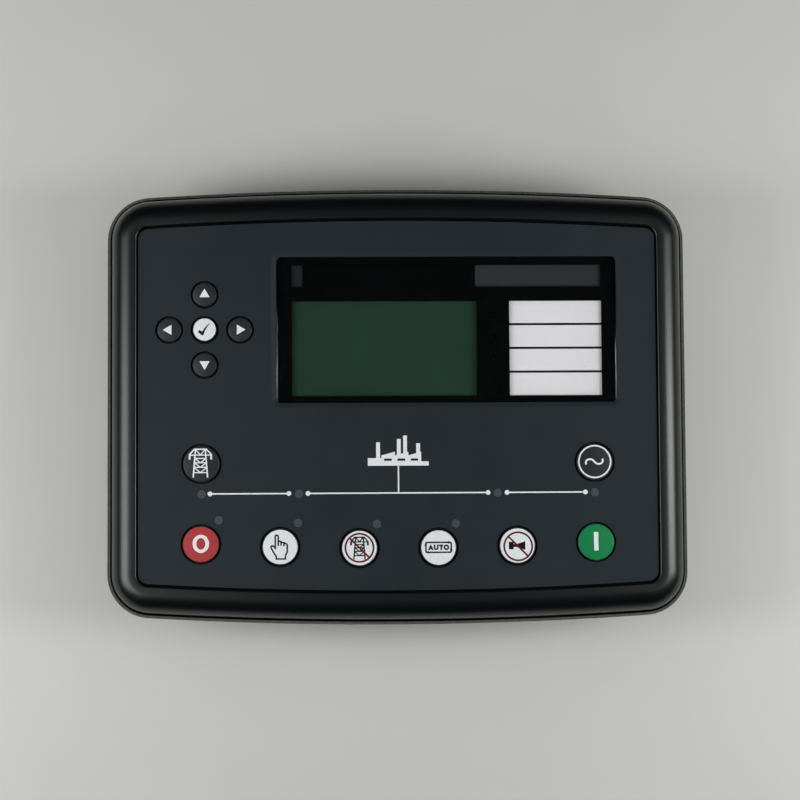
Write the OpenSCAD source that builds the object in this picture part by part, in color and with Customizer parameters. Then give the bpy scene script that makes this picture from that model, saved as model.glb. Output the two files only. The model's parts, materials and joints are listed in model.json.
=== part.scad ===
// Panel-mounted controller for a generating set.
// X runs to the right, Z up, and the face looks along -Y.
// The origin is the middle of the plane where the gasket meets the panel.
// Modules draw in the face's own axes (x right, y up, z out of the panel), and upright() turns them.

/* [Bezel] */
// Width over the gasket lip
overall_w = 240; // [234:1:250]
// Height over the gasket lip, at the middle
overall_h = 181; // [176:1:190]
// Radius of the bowed top and bottom edges
bow_r = 1650; // [1200:50:2400]
// Corner radius of the gasket lip
corner_r = 16; // [15.5:0.5:20]
// How far the gasket shows past the bezel
gasket_lip = 2.2; // [1.8:0.1:3]
// Thickness of the gasket
gasket_t = 1.8; // [1:0.1:3]
// Height of the bezel from the gasket to its crest
bezel_h = 11.2; // [10.8:0.1:14]
// Width of the bezel's frame, from its outer edge to the fascia
frame_w = 10.9; // [9.5:0.1:11.5]
// Width of the low ledge round the frame's foot
ledge_w = 1; // [0.6:0.1:1.4]
// Height of that ledge
ledge_h = 0.5; // [0.3:0.1:0.8]
// Radius of the roll on the frame's outer edge
roll_r = 8; // [5:0.1:8.4]
// Radius on the inner edge of the frame's crest
crest_edge_r = 0.7; // [0.2:0.1:0.7]
// How far the crest stands above the overlay
crest_step = 1.2; // [0.4:0.1:1.6]
// Thickness of the fascia plate
plate_t = 2; // [1.6:0.1:2.6]
// Thickness of the outer wall left by the cored channel behind the frame
channel_wall = 2.8; // [2.6:0.1:3.4]
// Width of the cored channel
channel_w = 3.6; // [2:0.1:4.2]

/* [Overlay] */
// Thickness of the overlay
overlay_t = 0.8; // [0.5:0.05:1.2]
// Groove between the overlay and the frame
overlay_gap = 0.6; // [0.3:0.05:1]
// Width of the bevel that leads down to the window
window_bevel = 2; // [0.8:0.1:2.6]
// Part of the overlay's edge left square below that bevel
bevel_land = 0.2; // [0.1:0.05:0.4]

/* [Window] */
// Distance of the window's left edge from the lip's left edge
window_left = 70.1; // [68:0.1:72]
// Distance of the window's right edge from the lip's right edge
window_right = 29.5; // [26:0.1:32]
// Distance of the window's top edge from the lip's top
window_top = 29.5; // [27:0.1:31]
// Distance of the window's bottom edge from the lip's bottom
window_bottom = 91.2; // [89:0.1:93]
// Corner radius of the window
window_corner_r = 2.2; // [1:0.1:3]
// Radius on the window's front edge
window_edge_r = 0.5; // [0.2:0.05:0.8]
// How far the window's face lies below the overlay
window_drop = 0.5; // [0.2:0.05:0.9]
// Width of the rim that holds the window behind the plate
window_rim = 1.2; // [0.6:0.1:1.8]
// Thickness of that rim
window_rim_t = 0.75; // [0.5:0.05:1]
// Thickness of the shroud's mask
mask_t = 0.9; // [0.6:0.05:1.1]
// Thickness of the shroud's side walls
shroud_wall = 1.2; // [0.8:0.1:1.6]
// Border of the window left of the display
lcd_margin = 6.4; // [5:0.1:8]
// Space between the display and the label card, where the fault lamps stand
lamp_column = 13.6; // [12:0.1:15]
// Visible width of the label card
label_w = 38.2; // [34:0.2:40]
// Border of the window right of the label card
label_margin = 5.9; // [5:0.1:8]
// Border of the window at either end of the strip card
strip_margin = 6.2; // [5:0.1:8]
// Border of the window above the strip card
strip_head = 3.1; // [2.6:0.1:4]
// Visible height of the strip card
strip_h = 9; // [7:0.1:9.5]
// Space between the strip card and the display
row_gap = 6; // [5:0.1:7]
// Border of the window below the display
window_foot = 2.9; // [2.8:0.1:4]
// Thickness of the cards
card_t = 0.3; // [0.2:0.05:0.5]
// How far a card reaches past its opening in the mask
card_margin = 1; // [0.5:0.1:1.4]
// Width of the display glass outside its visible part
lcd_border = 2; // [1.2:0.1:2.2]
// Thickness of the display glass
lcd_glass_t = 1.8; // [1:0.1:2.4]
// Thickness of the display's sheet-metal frame
lcd_frame_t = 0.5; // [0.3:0.05:0.8]
// Distance of the end fault lamps from the ends of the display's row
fault_edge = 5.7; // [5:0.1:7]
// Radius of a fault lamp's tip
fault_r = 0.9; // [0.6:0.05:1.2]
// Width of the shoulder on a fault lamp
fault_shoulder = 0.6; // [0.3:0.05:0.9]

/* [Keys] */
// Radius of the holes for the large keys
key_hole_r = 8.3; // [7.6:0.1:8.6]
// Radius of the holes for the arrow keys
arrow_hole_r = 5.75; // [5:0.05:6]
// Gap between a key and its hole
key_gap = 0.8; // [0.4:0.05:0.9]
// How far a key's dome stands above the overlay
key_proud = 1.1; // [0.9:0.05:2]
// Rise of the dome between the key's edge and its middle
key_dome = 0.35; // [0.1:0.05:0.6]
// Radius on a key's edge
key_edge_r = 0.6; // [0.3:0.05:0.8]
// How far the flange behind the plate reaches past the hole
key_flange = 0.8; // [0.5:0.05:1]
// Thickness of that flange
key_flange_t = 1; // [0.6:0.05:1.2]
// Play between the flange and the plate
key_play = 0.3; // [0.2:0.05:0.4]
// Travel of a key
key_travel = 0.6; // [0.3:0.05:0.8]
// Radius of the stem that meets the switch
key_stem_r = 2.2; // [1.8:0.1:2.8]
// Pitch of the arrow keys
arrow_pitch = 14.55; // [14.2:0.05:15]
// Distance of the arrow keys' middle from the lip's left edge
arrow_left = 40.6; // [39:0.1:41.5]
// Distance of the arrow keys' middle from the lip's top
arrow_top = 59.6; // [57:0.1:61]
// Distance of the mains and generator keys from the lip's sides
source_side = 39.2; // [37:0.1:42]
// Distance of the mains and generator keys from the lip's bottom
source_bottom = 66.2; // [65.8:0.1:68]
// Distance of the end keys of the lower row from the lip's sides
row_side = 39; // [38:0.1:42]
// Distance of the lower row from the lip's bottom, at the middle
row_bottom = 31.3; // [30.5:0.1:32]

/* [Lamps] */
// Radius of the holes for the light guides
guide_hole_r = 1.9; // [1.6:0.05:2.2]
// Gap round a light guide
guide_gap = 0.1; // [0.05:0.05:0.3]
// How far a guide's collar reaches past its hole
guide_collar = 0.6; // [0.3:0.05:0.7]
// Distance of the row of lamps between mains and generator from the lip's bottom
mimic_bottom = 53.8; // [53.4:0.1:54.2]
// Distance of the inner two of those lamps from the lip's sides
mimic_side = 79.2; // [76:0.1:82]
// Lamp beside a key of the lower row, to the right of the key
key_lamp_x = 7.25; // [7:0.05:8.5]
// Lamp beside a key of the lower row, above the key
key_lamp_y = 9.8; // [9.7:0.1:10.5]
// Side of a lamp's square body
lamp_w = 2.6; // [2:0.1:3]
// Height of a lamp's body
lamp_h = 1.2; // [0.8:0.1:1.6]

/* [Boards] */
// Space between the fascia plate and the display board
front_space = 8; // [7.6:0.1:9.5]
// Thickness of the boards
board_t = 1.6; // [1:0.1:2]
// Gap between a board's edge and the case
board_gap = 2; // [1:0.1:3]
// Space between the two boards
board_space = 13.4; // [12.6:0.1:14]
// Side of the notch in a board's corner
board_notch = 11; // [10.5:0.1:13]
// Radius of the spacers' studs and of the board screws
stud_r = 1.45; // [1.2:0.05:1.6]
// Radius of the posts that carry the display board
post_r = 3.5; // [3:0.1:3.8]
// Distance of the spacers from the case's inner top and bottom walls
spacer_inset = 7; // [6.6:0.1:7.2]
// Wall of a spacer
spacer_wall = 1.8; // [1.4:0.1:2.2]
// Side of a switch's body
switch_w = 6; // [5.5:0.1:7]
// Height of a switch's body
switch_h = 3.5; // [3:0.1:3.8]
// Radius of a switch's plunger
plunger_r = 1.75; // [1.5:0.05:1.9]
// Running gap round a plunger
plunger_gap = 0.05; // [0.03:0.01:0.1]
// Height of the plunger's top above the board
plunger_top = 5; // [4.8:0.05:5.2]

/* [Case] */
// How far the lip covers the panel at the left and right of its cut-out
panel_cover_x = 10; // [9:0.1:11]
// How far the lip covers the panel above and below its cut-out
panel_cover_y = 10.5; // [10:0.1:11]
// Play between the case and the cut-out, on each side
cutout_play = 0.8; // [0.4:0.1:1.2]
// Depth of the case behind the panel
case_depth = 28.7; // [28.2:0.1:34]
// Wall of the case
case_wall = 2.2; // [1.8:0.1:2.6]
// Corner radius of the case
case_corner_r = 4; // [3.6:0.1:6]
// Radius on the edge round the case's back
case_edge_r = 1.5; // [0.6:0.1:2]
// Radius of the tubes for the case screws
tube_r = 4; // [3.8:0.1:4.6]
// Radius of the case screws
case_screw_r = 1.5; // [1.2:0.05:1.8]
// Radius of the screw heads
screw_head_r = 2.75; // [2.5:0.05:3]
// Height of the screw heads
screw_head_h = 2; // [1.4:0.1:2.4]
// Distance of the case screws from the case's inner walls
case_screw_inset = 5.2; // [5:0.1:6]
// Length of a slot for a fixing clip's prong
clip_slot_w = 5; // [3:0.1:6]
// Height of that slot
clip_slot_h = 2.4; // [1.6:0.1:3]
// Pitch of the three slots of one clip
clip_slot_pitch = 8; // [7:0.1:10]
// Distance of the slots behind the panel
clip_slot_depth = 11; // [9.5:0.1:12.5]
// Distance of the clips from the sides of the cut-out
clip_side = 32; // [30:1:50]

/* [Terminals] */
// Width of a header
header_w = 9; // [8.4:0.1:9.6]
// Wall of a header
header_wall = 0.9; // [0.6:0.05:1]
// Floor of a header
header_floor = 3; // [2:0.1:4]
// Pitch of the signal terminals
signal_pitch = 5.08; // [5:0.01:5.1]
// Pitch of the voltage terminals
voltage_pitch = 7.62; // [7.5:0.01:7.7]
// Length of a header past its terminals
header_end = 2.5; // [2:0.1:3]
// Gap between neighbouring headers
header_space = 1.2; // [0.6:0.1:1.4]
// Least distance of the upper row of headers from the case's inner side walls
upper_row_side = 19.5; // [18.5:0.1:20.5]
// Least distance of the lower row of headers from the case's inner side walls
lower_row_side = 13.5; // [12.5:0.1:14.4]
// Width of the slots for a plug's latches in a header's wall
latch_slot_w = 1.8; // [1.2:0.1:2.4]
// Length of those slots
latch_slot_l = 4; // [2:0.1:6]
// Distance of the two rows of headers from the case's inner top and bottom walls
header_inset = 15.5; // [15.2:0.1:17]
// Side of a terminal pin
pin_w = 1; // [0.6:0.1:1.2]
// Distance of the pins from the header's inner wall
pin_offset = 2.1; // [1.6:0.1:2.2]
// How far the pins end below the header's rim
pin_recess = 1.5; // [1:0.1:2.5]
// Gap between a header or port and its opening in the case
opening_gap = 0.35; // [0.2:0.05:0.6]
// How far headers and ports end below the case's back
back_recess = 0.2; // [0:0.05:0.6]
// How far the contacts of a port end below its rim
contact_recess = 1; // [0.5:0.1:2]

/* [Ports] */
// Middle of the USB port, to the right of the face's middle
usb_x = 52; // [40:1:70]
// Width of the USB port
usb_w = 12; // [11:0.1:13]
// Height of the USB port
usb_h = 10.8; // [10:0.1:12]
// Middle of the serial port, to the right of the face's middle
serial_x = -40; // [-60:1:-25]
// Width of the serial port's flange
serial_w = 30.8; // [30:0.1:32]
// Height of the serial port's flange
serial_h = 12.5; // [12.2:0.1:13]
// Distance between the serial port's jack sockets
jack_spacing = 25; // [24.6:0.1:25.4]
// Radius of the bores in the jack sockets
jack_bore_r = 1.4; // [1.2:0.05:1.5]
// Middle of both ports, above the face's middle
port_y = 4; // [-6:1:10]

/* [Hidden] */
$fn = 64;
// Fineness of the bowed edges, whose radius is far larger than the part
bow_fn = 2400;
// Steps round a corner, along a bow, over the roll and over the crest's inner edge
corner_steps = 14;
bow_steps = 14;
roll_steps = 10;
edge_steps = 3;
// Gap between pieces that are seated on each other
seat = 0.05;
// How far a cut reaches past the face that it opens
past = 1;

// Levels from back to front, measured out of the panel
bezel_back = gasket_t;
crest_z = bezel_back + bezel_h;
overlay_face = crest_z - crest_step;
plate_front = overlay_face - overlay_t;
plate_back = plate_front - plate_t;
window_face = overlay_face - window_drop;
window_rim_front = plate_back - seat;
window_back = window_rim_front - window_rim_t;
mask_front = window_back - seat;
mask_back = mask_front - mask_t;
card_front = mask_back - seat;
lcd_frame_front = mask_back - seat;
lcd_glass_front = lcd_frame_front - lcd_frame_t - seat;
lcd_glass_back = lcd_glass_front - lcd_glass_t;
board_front = plate_back - front_space;
board_back = board_front - board_t;
io_front = board_back - board_space;
io_back = io_front - board_t;
case_back = -case_depth;
case_front = bezel_back - seat;
back_floor = case_back + case_wall;
rim_z = case_back + back_recess;

// Outlines of the panel's cut-out, the case and what it holds
cutout_w = overall_w - 2 * panel_cover_x;
cutout_h = overall_h - 2 * panel_cover_y;
clip_x = cutout_w / 2 - clip_side;
case_w = cutout_w - 2 * cutout_play;
case_h = cutout_h - 2 * cutout_play;
cavity_w = case_w - 2 * case_wall;
cavity_h = case_h - 2 * case_wall;
board_w = cavity_w - 2 * board_gap;
board_h = cavity_h - 2 * board_gap;
case_screw_x = cavity_w / 2 - case_screw_inset;
case_screw_y = cavity_h / 2 - case_screw_inset;
spacer_y = cavity_h / 2 - spacer_inset;
header_y = cavity_h / 2 - header_inset;
inner_corner_r = case_corner_r - case_wall;
// The ledge inside the bezel's back, on which the case's rim sits
rim_ledge = 1;
bezel_cavity_w = cavity_w - 2 * rim_ledge;
bezel_cavity_h = cavity_h - 2 * rim_ledge;
gasket_hole_play = 0.5;

// Places on the face, from its middle
window_w = overall_w - window_left - window_right;
window_h = overall_h - window_top - window_bottom;
window_x = (window_left - window_right) / 2;
window_y = (window_bottom - window_top) / 2;
arrow_x = arrow_left - overall_w / 2;
arrow_y = overall_h / 2 - arrow_top;
source_x = overall_w / 2 - source_side;
source_y = source_bottom - overall_h / 2;
row_y = row_bottom - overall_h / 2;
mimic_y = mimic_bottom - overall_h / 2;
mimic_inner_x = overall_w / 2 - mimic_side;

// Places inside the window, from its middle
strip_w = window_w - 2 * strip_margin;
strip_y = window_h / 2 - strip_head - strip_h / 2;
lcd_w = window_w - lcd_margin - lamp_column - label_w - label_margin;
lcd_h = window_h - strip_head - strip_h - row_gap - window_foot;
lcd_x = lcd_margin + lcd_w / 2 - window_w / 2;
label_x = window_w / 2 - label_margin - label_w / 2;
lower_row_y = window_foot + lcd_h / 2 - window_h / 2;
fault_x = lcd_margin + lcd_w + lamp_column / 2 - window_w / 2;

// Outlines of the window's stack
shroud_w = window_w + 2 * window_rim;
shroud_h = window_h + 2 * window_rim;
aperture_gap = 0.15;
lcd_frame_w = lcd_w + 2 * lcd_border + 2 * seat + 2 * lcd_frame_t;
lcd_frame_h = lcd_h + 2 * lcd_border + 2 * seat + 2 * lcd_frame_t;

// Place of each key: name, x, y, radius of its hole, colour
row_keys = ["stop", "manual", "mains_off", "auto", "mute", "start"];
row_colours = ["firebrick", "whitesmoke", "whitesmoke", "whitesmoke", "whitesmoke", "seagreen"];
row_pitch = (overall_w - 2 * row_side) / (len(row_keys) - 1);
function row_x(i) = (i - (len(row_keys) - 1) / 2) * row_pitch;
function row_height(i) = row_y + bow_r - sqrt(bow_r * bow_r - row_x(i) * row_x(i));
KEYS = concat(
    [
        ["up", arrow_x, arrow_y + arrow_pitch, arrow_hole_r, "dimgray"],
        ["down", arrow_x, arrow_y - arrow_pitch, arrow_hole_r, "dimgray"],
        ["left", arrow_x - arrow_pitch, arrow_y, arrow_hole_r, "dimgray"],
        ["right", arrow_x + arrow_pitch, arrow_y, arrow_hole_r, "dimgray"],
        ["accept", arrow_x, arrow_y, arrow_hole_r, "whitesmoke"],
        ["mains", -source_x, source_y, key_hole_r, "dimgray"],
        ["generator", source_x, source_y, key_hole_r, "dimgray"]
    ],
    [for (i = [0 : len(row_keys) - 1])
        [row_keys[i], row_x(i), row_height(i), key_hole_r, row_colours[i]]]
);

// Places of the lamps under the light guides, and of the fault lamps in the window
LAMPS = concat(
    [for (x = [-source_x, -mimic_inner_x, mimic_inner_x, source_x]) [x, mimic_y]],
    [for (i = [0 : 3]) [row_x(i) + key_lamp_x, row_height(i) + key_lamp_y]]
);
fault_count = 4;
fault_pitch = (lcd_h - 2 * fault_edge) / (fault_count - 1);
FAULTS = [for (i = [0 : fault_count - 1])
    [window_x + fault_x, window_y + lower_row_y + (i - (fault_count - 1) / 2) * fault_pitch]];
// The spacers stand midway between keys of the lower row
SPACERS = [for (x = [-2 * row_pitch, 0, 2 * row_pitch], y = [-spacer_y, spacer_y]) [x, y]];
CASE_SCREWS = [for (x = [-case_screw_x, case_screw_x], y = [-case_screw_y, case_screw_y]) [x, y]];

// Headers of a row, from left to right: name, ways, pitch. The first one fills up the row.
UPPER_REST = [
    ["header_sensors", 11, signal_pitch],
    ["header_relays", 8, signal_pitch]
];
LOWER_REST = [
    ["header_current", 5, signal_pitch],
    ["header_generator", 4, voltage_pitch],
    ["header_mains", 4, voltage_pitch],
    ["header_bus", 8, signal_pitch]
];
function header_l(h) = h[1] * h[2] + header_end;
function length_to(row, n) = n == 0 ? 0 : header_l(row[n - 1]) + header_space + length_to(row, n - 1);
function ways_that_fit(room, rest) =
    floor((room - length_to(rest, len(rest)) - header_end) / signal_pitch);
UPPER_HEADERS = concat(
    [["header_supply", ways_that_fit(cavity_w - 2 * upper_row_side, UPPER_REST), signal_pitch]],
    UPPER_REST
);
LOWER_HEADERS = concat(
    [["header_inputs", ways_that_fit(cavity_w - 2 * lower_row_side, LOWER_REST), signal_pitch]],
    LOWER_REST
);
function row_l(row) = length_to(row, len(row)) - header_space;
function header_x(row, i) =
    length_to(row, i) + header_l(row[i]) / 2 - row_l(row) / 2;
// Each header as name, ways, pitch, x, side of the middle
HEADERS = concat(
    [for (i = [0 : len(UPPER_HEADERS) - 1]) concat(UPPER_HEADERS[i], [header_x(UPPER_HEADERS, i), 1])],
    [for (i = [0 : len(LOWER_HEADERS) - 1]) concat(LOWER_HEADERS[i], [header_x(LOWER_HEADERS, i), -1])]
);

// Turns the face's axes upright, so that the face looks along -Y
module upright() {
    rotate([90, 0, 0]) children();
}

// A flat shape raised from one level to another
module raised(low, high) {
    translate([0, 0, low]) linear_extrude(high - low) children();
}

// A rectangle with round corners
module round_rect(w, h, r) {
    square([w - 2 * r, h], center = true);
    square([w, h - 2 * r], center = true);
    for (x = [-1, 1], y = [-1, 1]) {
        translate([x * (w / 2 - r), y * (h / 2 - r)]) circle(r);
    }
}

// Geometry of the bowed outline: height of a bow's middle, and a corner's middle and sweep
function bow_middle(h, r_bow) = h / 2 - r_bow;
function corner_x(w, r) = w / 2 - r;
function corner_y(w, h, r_bow, r) =
    bow_middle(h, r_bow) + sqrt(pow(r_bow - r, 2) - pow(corner_x(w, r), 2));
function corner_sweep(w, r_bow, r) = acos(corner_x(w, r) / (r_bow - r));

// The face's outline, a given distance inside the gasket lip
module face_outline(inset) {
    w = overall_w - 2 * inset;
    h = overall_h - 2 * inset;
    r_bow = bow_r - inset;
    r = corner_r - inset;
    xc = corner_x(w, r);
    yc = corner_y(w, h, r_bow, r);
    join_x = xc + r * cos(corner_sweep(w, r_bow, r));
    intersection() {
        square([2 * join_x, h + past], center = true);
        translate([0, bow_middle(h, r_bow)]) circle(r_bow, $fn = bow_fn);
        translate([0, -bow_middle(h, r_bow)]) circle(r_bow, $fn = bow_fn);
    }
    square([w, 2 * yc], center = true);
    for (x = [-1, 1], y = [-1, 1]) {
        translate([x * xc, y * yc]) circle(r);
    }
}

// The bezel's edge, once round: each point as the middle and radius of its arc and its direction
function edge_path() =
    let (
        w = overall_w - 2 * gasket_lip,
        h = overall_h - 2 * gasket_lip,
        r_bow = bow_r - gasket_lip,
        r = corner_r - gasket_lip,
        xc = corner_x(w, r),
        yc = corner_y(w, h, r_bow, r),
        sweep = corner_sweep(w, r_bow, r),
        upper = concat(
            [for (i = [0 : corner_steps]) [xc, yc, r, sweep * i / corner_steps]],
            [for (i = [1 : bow_steps - 1])
                [0, bow_middle(h, r_bow), r_bow, sweep + (180 - 2 * sweep) * i / bow_steps]],
            [for (i = [0 : corner_steps]) [-xc, yc, r, 180 - sweep + sweep * i / corner_steps]]
        )
    )
    concat(upper, [for (p = upper) [-p[0], -p[1], p[2], p[3] + 180]]);

// The point of a path that lies a given distance inside the edge, at a level
function path_point(p, inset, z) =
    [p[0] + (p[2] - inset) * cos(p[3]), p[1] + (p[2] - inset) * sin(p[3]), z];

// Section of the bezel, as inset and level: channel at the back, ledge, wall, roll, crest and inner edge
function bezel_section() = concat(
    [
        [channel_wall + channel_w, bezel_back],
        [channel_wall + channel_w, plate_back],
        [channel_wall, plate_back],
        [channel_wall, bezel_back],
        [-ledge_w, bezel_back],
        [-ledge_w, bezel_back + ledge_h],
        [0, bezel_back + ledge_h]
    ],
    [for (i = [0 : roll_steps])
        let (a = 90 * i / roll_steps)
        [roll_r * (1 - cos(a)), crest_z - roll_r * (1 - sin(a))]],
    [for (i = [0 : edge_steps])
        let (a = 90 * i / edge_steps)
        [frame_w - crest_edge_r * (1 - sin(a)), crest_z - crest_edge_r * (1 - cos(a))]],
    [[frame_w, plate_front]]
);

// One closed solid: the section carried round the path, with a flat face at either end of it
module lofted(path, section) {
    n = len(path);
    m = len(section);
    points = [for (s = section, p = path) path_point(p, s[0], s[1])];
    sides = [for (j = [0 : m - 2], i = [0 : n - 1])
        let (k = (i + 1) % n)
        [j * n + i, (j + 1) * n + i, (j + 1) * n + k, j * n + k]];
    back = [for (i = [0 : n - 1]) i];
    front = [for (i = [n - 1 : -1 : 0]) (m - 1) * n + i];
    polyhedron(points, concat([back], sides, [front]));
}

// The round holes that keys and light guides pass through
module face_holes() {
    for (k = KEYS) {
        translate([k[1], k[2]]) circle(k[3]);
    }
    for (p = LAMPS) {
        translate(p) circle(guide_hole_r);
    }
}

module window_outline(grow) {
    translate([window_x, window_y])
        round_rect(window_w + 2 * grow, window_h + 2 * grow, window_corner_r + max(grow, 0));
}

module front_bezel() {
    color("#1a1c1b") upright() difference() {
        union() {
            difference() {
                lofted(edge_path(), bezel_section());
                raised(bezel_back - past, plate_back) {
                    round_rect(bezel_cavity_w, bezel_cavity_h, inner_corner_r);
                }
            }
            for (p = SPACERS) {
                translate(p) raised(board_front + seat, plate_back + seat) circle(post_r);
            }
            for (p = CASE_SCREWS) {
                translate(p) raised(bezel_back, plate_back + seat) circle(tube_r);
            }
        }
        raised(plate_back - past, plate_front + past) {
            face_holes();
            window_outline(aperture_gap);
        }
        for (p = SPACERS) {
            translate(p) raised(board_front - past, plate_back) circle(stud_r + seat);
        }
        for (p = CASE_SCREWS) {
            translate(p) raised(bezel_back - past, plate_back) circle(case_screw_r + seat);
        }
    }
}

module fascia_overlay() {
    color("#2b2f33") upright() difference() {
        raised(plate_front + seat, overlay_face) {
            difference() {
                face_outline(gasket_lip + frame_w + overlay_gap);
                face_holes();
                window_outline(aperture_gap);
            }
        }
        bevelled_opening();
    }
}

// The bevel that leads from the overlay's face down to the window
module bevelled_opening() {
    bevel_back = plate_front + seat + bevel_land;
    $fn = 32;
    hull() {
        raised(bevel_back, bevel_back + seat) window_outline(aperture_gap);
        raised(overlay_face, overlay_face + seat) window_outline(window_bevel);
    }
}

module panel_gasket() {
    color("#4a4a45") upright() raised(0, gasket_t - seat) {
        difference() {
            face_outline(0);
            round_rect(cutout_w + 2 * gasket_hole_play, cutout_h + 2 * gasket_hole_play, case_corner_r);
        }
    }
}

// A plate whose front edge is rounded all round
module soft_edged_plate(w, h, r, low, high, edge) {
    raised(low, high - edge) round_rect(w, h, r);
    raised(low, high) round_rect(w - 2 * edge, h - 2 * edge, r - edge);
    for (side = [-1, 1]) {
        translate([side * (w / 2 - edge), h / 2 - r, high - edge]) rotate([90, 0, 0])
            cylinder(r = edge, h = h - 2 * r);
        translate([-w / 2 + r, side * (h / 2 - edge), high - edge]) rotate([0, 90, 0])
            cylinder(r = edge, h = w - 2 * r);
    }
    for (x = [-1, 1], y = [-1, 1]) {
        translate([x * (w / 2 - r), y * (h / 2 - r), high - edge])
            rotate_extrude() translate([r - edge, 0]) circle(edge);
    }
}

module display_window() {
    color("#101214") upright() {
        translate([window_x, window_y, 0]) {
            soft_edged_plate(window_w, window_h, window_corner_r, window_back, window_face, window_edge_r);
        }
        raised(window_back, window_rim_front) window_outline(window_rim);
    }
}

// The openings in the mask, each grown by a margin
module lcd_place(grow) {
    translate([window_x + lcd_x, window_y + lower_row_y])
        square([lcd_w + 2 * grow, lcd_h + 2 * grow], center = true);
}

module label_place(grow) {
    translate([window_x + label_x, window_y + lower_row_y])
        square([label_w + 2 * grow, lcd_h + 2 * grow], center = true);
}

module strip_place(grow) {
    translate([window_x, window_y + strip_y])
        square([strip_w + 2 * grow, strip_h + 2 * grow], center = true);
}

module display_shroud() {
    color("#0b0b0c") upright() {
        raised(mask_back, mask_front) {
            difference() {
                window_outline(window_rim);
                lcd_place(0);
                label_place(0);
                strip_place(0);
                for (p = FAULTS) {
                    translate(p) circle(fault_r + aperture_gap);
                }
            }
        }
        raised(board_front + seat, mask_front) {
            difference() {
                window_outline(window_rim);
                window_outline(window_rim - shroud_wall);
            }
        }
    }
}

module strip_card() {
    color("#3a3d40") upright() raised(card_front - card_t, card_front) strip_place(card_margin);
}

module label_card() {
    color("#d6d7d8") upright() raised(card_front - card_t, card_front) label_place(card_margin);
}

module lcd_glass() {
    color("#21362a") upright() raised(lcd_glass_back, lcd_glass_front) lcd_place(lcd_border);
}

module lcd_frame() {
    frame_reach = lcd_border + seat + lcd_frame_t;
    color("silver") upright() {
        raised(board_front + seat, lcd_frame_front) {
            difference() {
                lcd_place(frame_reach);
                lcd_place(lcd_border + seat);
            }
        }
        raised(lcd_frame_front - lcd_frame_t, lcd_frame_front) {
            difference() {
                lcd_place(frame_reach);
                lcd_place(lcd_border / 2);
            }
        }
    }
}

module lcd_backlight() {
    color("honeydew") upright() raised(board_front + seat, lcd_glass_back - seat) lcd_place(lcd_border);
}

// A key: domed cap with a rounded edge, flange behind the plate and stem on the switch
module key(k) {
    cap_r = k[3] - key_gap;
    edge_z = overlay_face + key_proud - key_dome;
    dome_r = (cap_r * cap_r + key_dome * key_dome) / (2 * key_dome);
    flange_front = plate_back - key_play;
    flange_back = flange_front - key_flange_t;
    color(k[4]) upright() translate([k[1], k[2], 0]) {
        rotate_extrude() {
            translate([0, flange_back]) square([cap_r, edge_z - key_edge_r - flange_back]);
            intersection() {
                union() {
                    translate([0, flange_back]) square([cap_r - key_edge_r, edge_z + key_dome - flange_back]);
                    translate([cap_r - key_edge_r, edge_z - key_edge_r]) circle(key_edge_r);
                }
                translate([0, edge_z + key_dome - dome_r]) circle(dome_r, $fn = bow_fn);
                translate([0, flange_back]) square([cap_r, edge_z + key_dome]);
            }
            translate([0, flange_back]) square([k[3] + key_flange, key_flange_t]);
            translate([0, board_front + plunger_top + seat])
                square([key_stem_r, flange_back - board_front - plunger_top]);
        }
    }
}

// The plunger of the switch under a key
module plunger(k) {
    plunger_low = board_front + switch_h / 2;
    color("tan") upright() translate([k[1], k[2], 0])
        raised(plunger_low, board_front + plunger_top) circle(plunger_r);
}

module switch_bodies() {
    bore_floor = board_front + switch_h / 2 - key_travel - seat;
    color("#2a2a2a") upright() {
        for (k = KEYS) {
            translate([k[1], k[2], 0]) difference() {
                raised(board_front + seat, board_front + switch_h) square(switch_w, center = true);
                raised(bore_floor, board_front + switch_h + past) circle(plunger_r + plunger_gap);
            }
        }
    }
}

// A board's outline, with notches that clear the tubes of the case screws
module board_outline() {
    difference() {
        square([board_w, board_h], center = true);
        for (x = [-1, 1], y = [-1, 1]) {
            translate([x * board_w / 2, y * board_h / 2]) square(2 * board_notch, center = true);
        }
        for (p = SPACERS) {
            translate(p) circle(stud_r + seat);
        }
    }
}

module display_board() {
    color("#1f5a38") upright() raised(board_back, board_front) board_outline();
}

module io_board() {
    color("#1f5a38") upright() raised(io_back, io_front) board_outline();
}

module fault_lamps() {
    tip_z = mask_back + mask_t / 2;
    lamp_r = fault_r + fault_shoulder;
    shoulder_z = board_front + switch_h;
    color("ivory") upright() {
        for (p = FAULTS) {
            translate(p) {
                raised(board_front + seat, shoulder_z) circle(lamp_r);
                raised(board_front + seat, tip_z - fault_r) circle(fault_r);
                translate([0, 0, tip_z - fault_r]) sphere(fault_r);
            }
        }
    }
}

module indicator_lamps() {
    color("ivory") upright() {
        for (p = LAMPS) {
            translate(p) raised(board_front + seat, board_front + lamp_h) square(lamp_w, center = true);
        }
    }
}

// A light guide: a rod with a collar behind the plate, ending just below the overlay's face
module light_guides() {
    guide_r = guide_hole_r - guide_gap;
    guide_drop = 0.1;
    lamp_gap = 0.2;
    collar_t = 1;
    color("#3f444c") upright() {
        for (p = LAMPS) {
            translate(p) {
                raised(board_front + lamp_h + lamp_gap, overlay_face - guide_drop) circle(guide_r);
                raised(plate_back - seat - collar_t, plate_back - seat) circle(guide_hole_r + guide_collar);
            }
        }
    }
}

// Pin strips that join the two boards
module board_links() {
    link_w = 45;
    link_h = 5;
    link_x = 45;
    color("#26282a") upright() {
        for (x = [-link_x, link_x]) {
            translate([x, 0]) raised(io_front + seat, board_back - seat) {
                square([link_w, link_h], center = true);
            }
        }
    }
}

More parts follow.
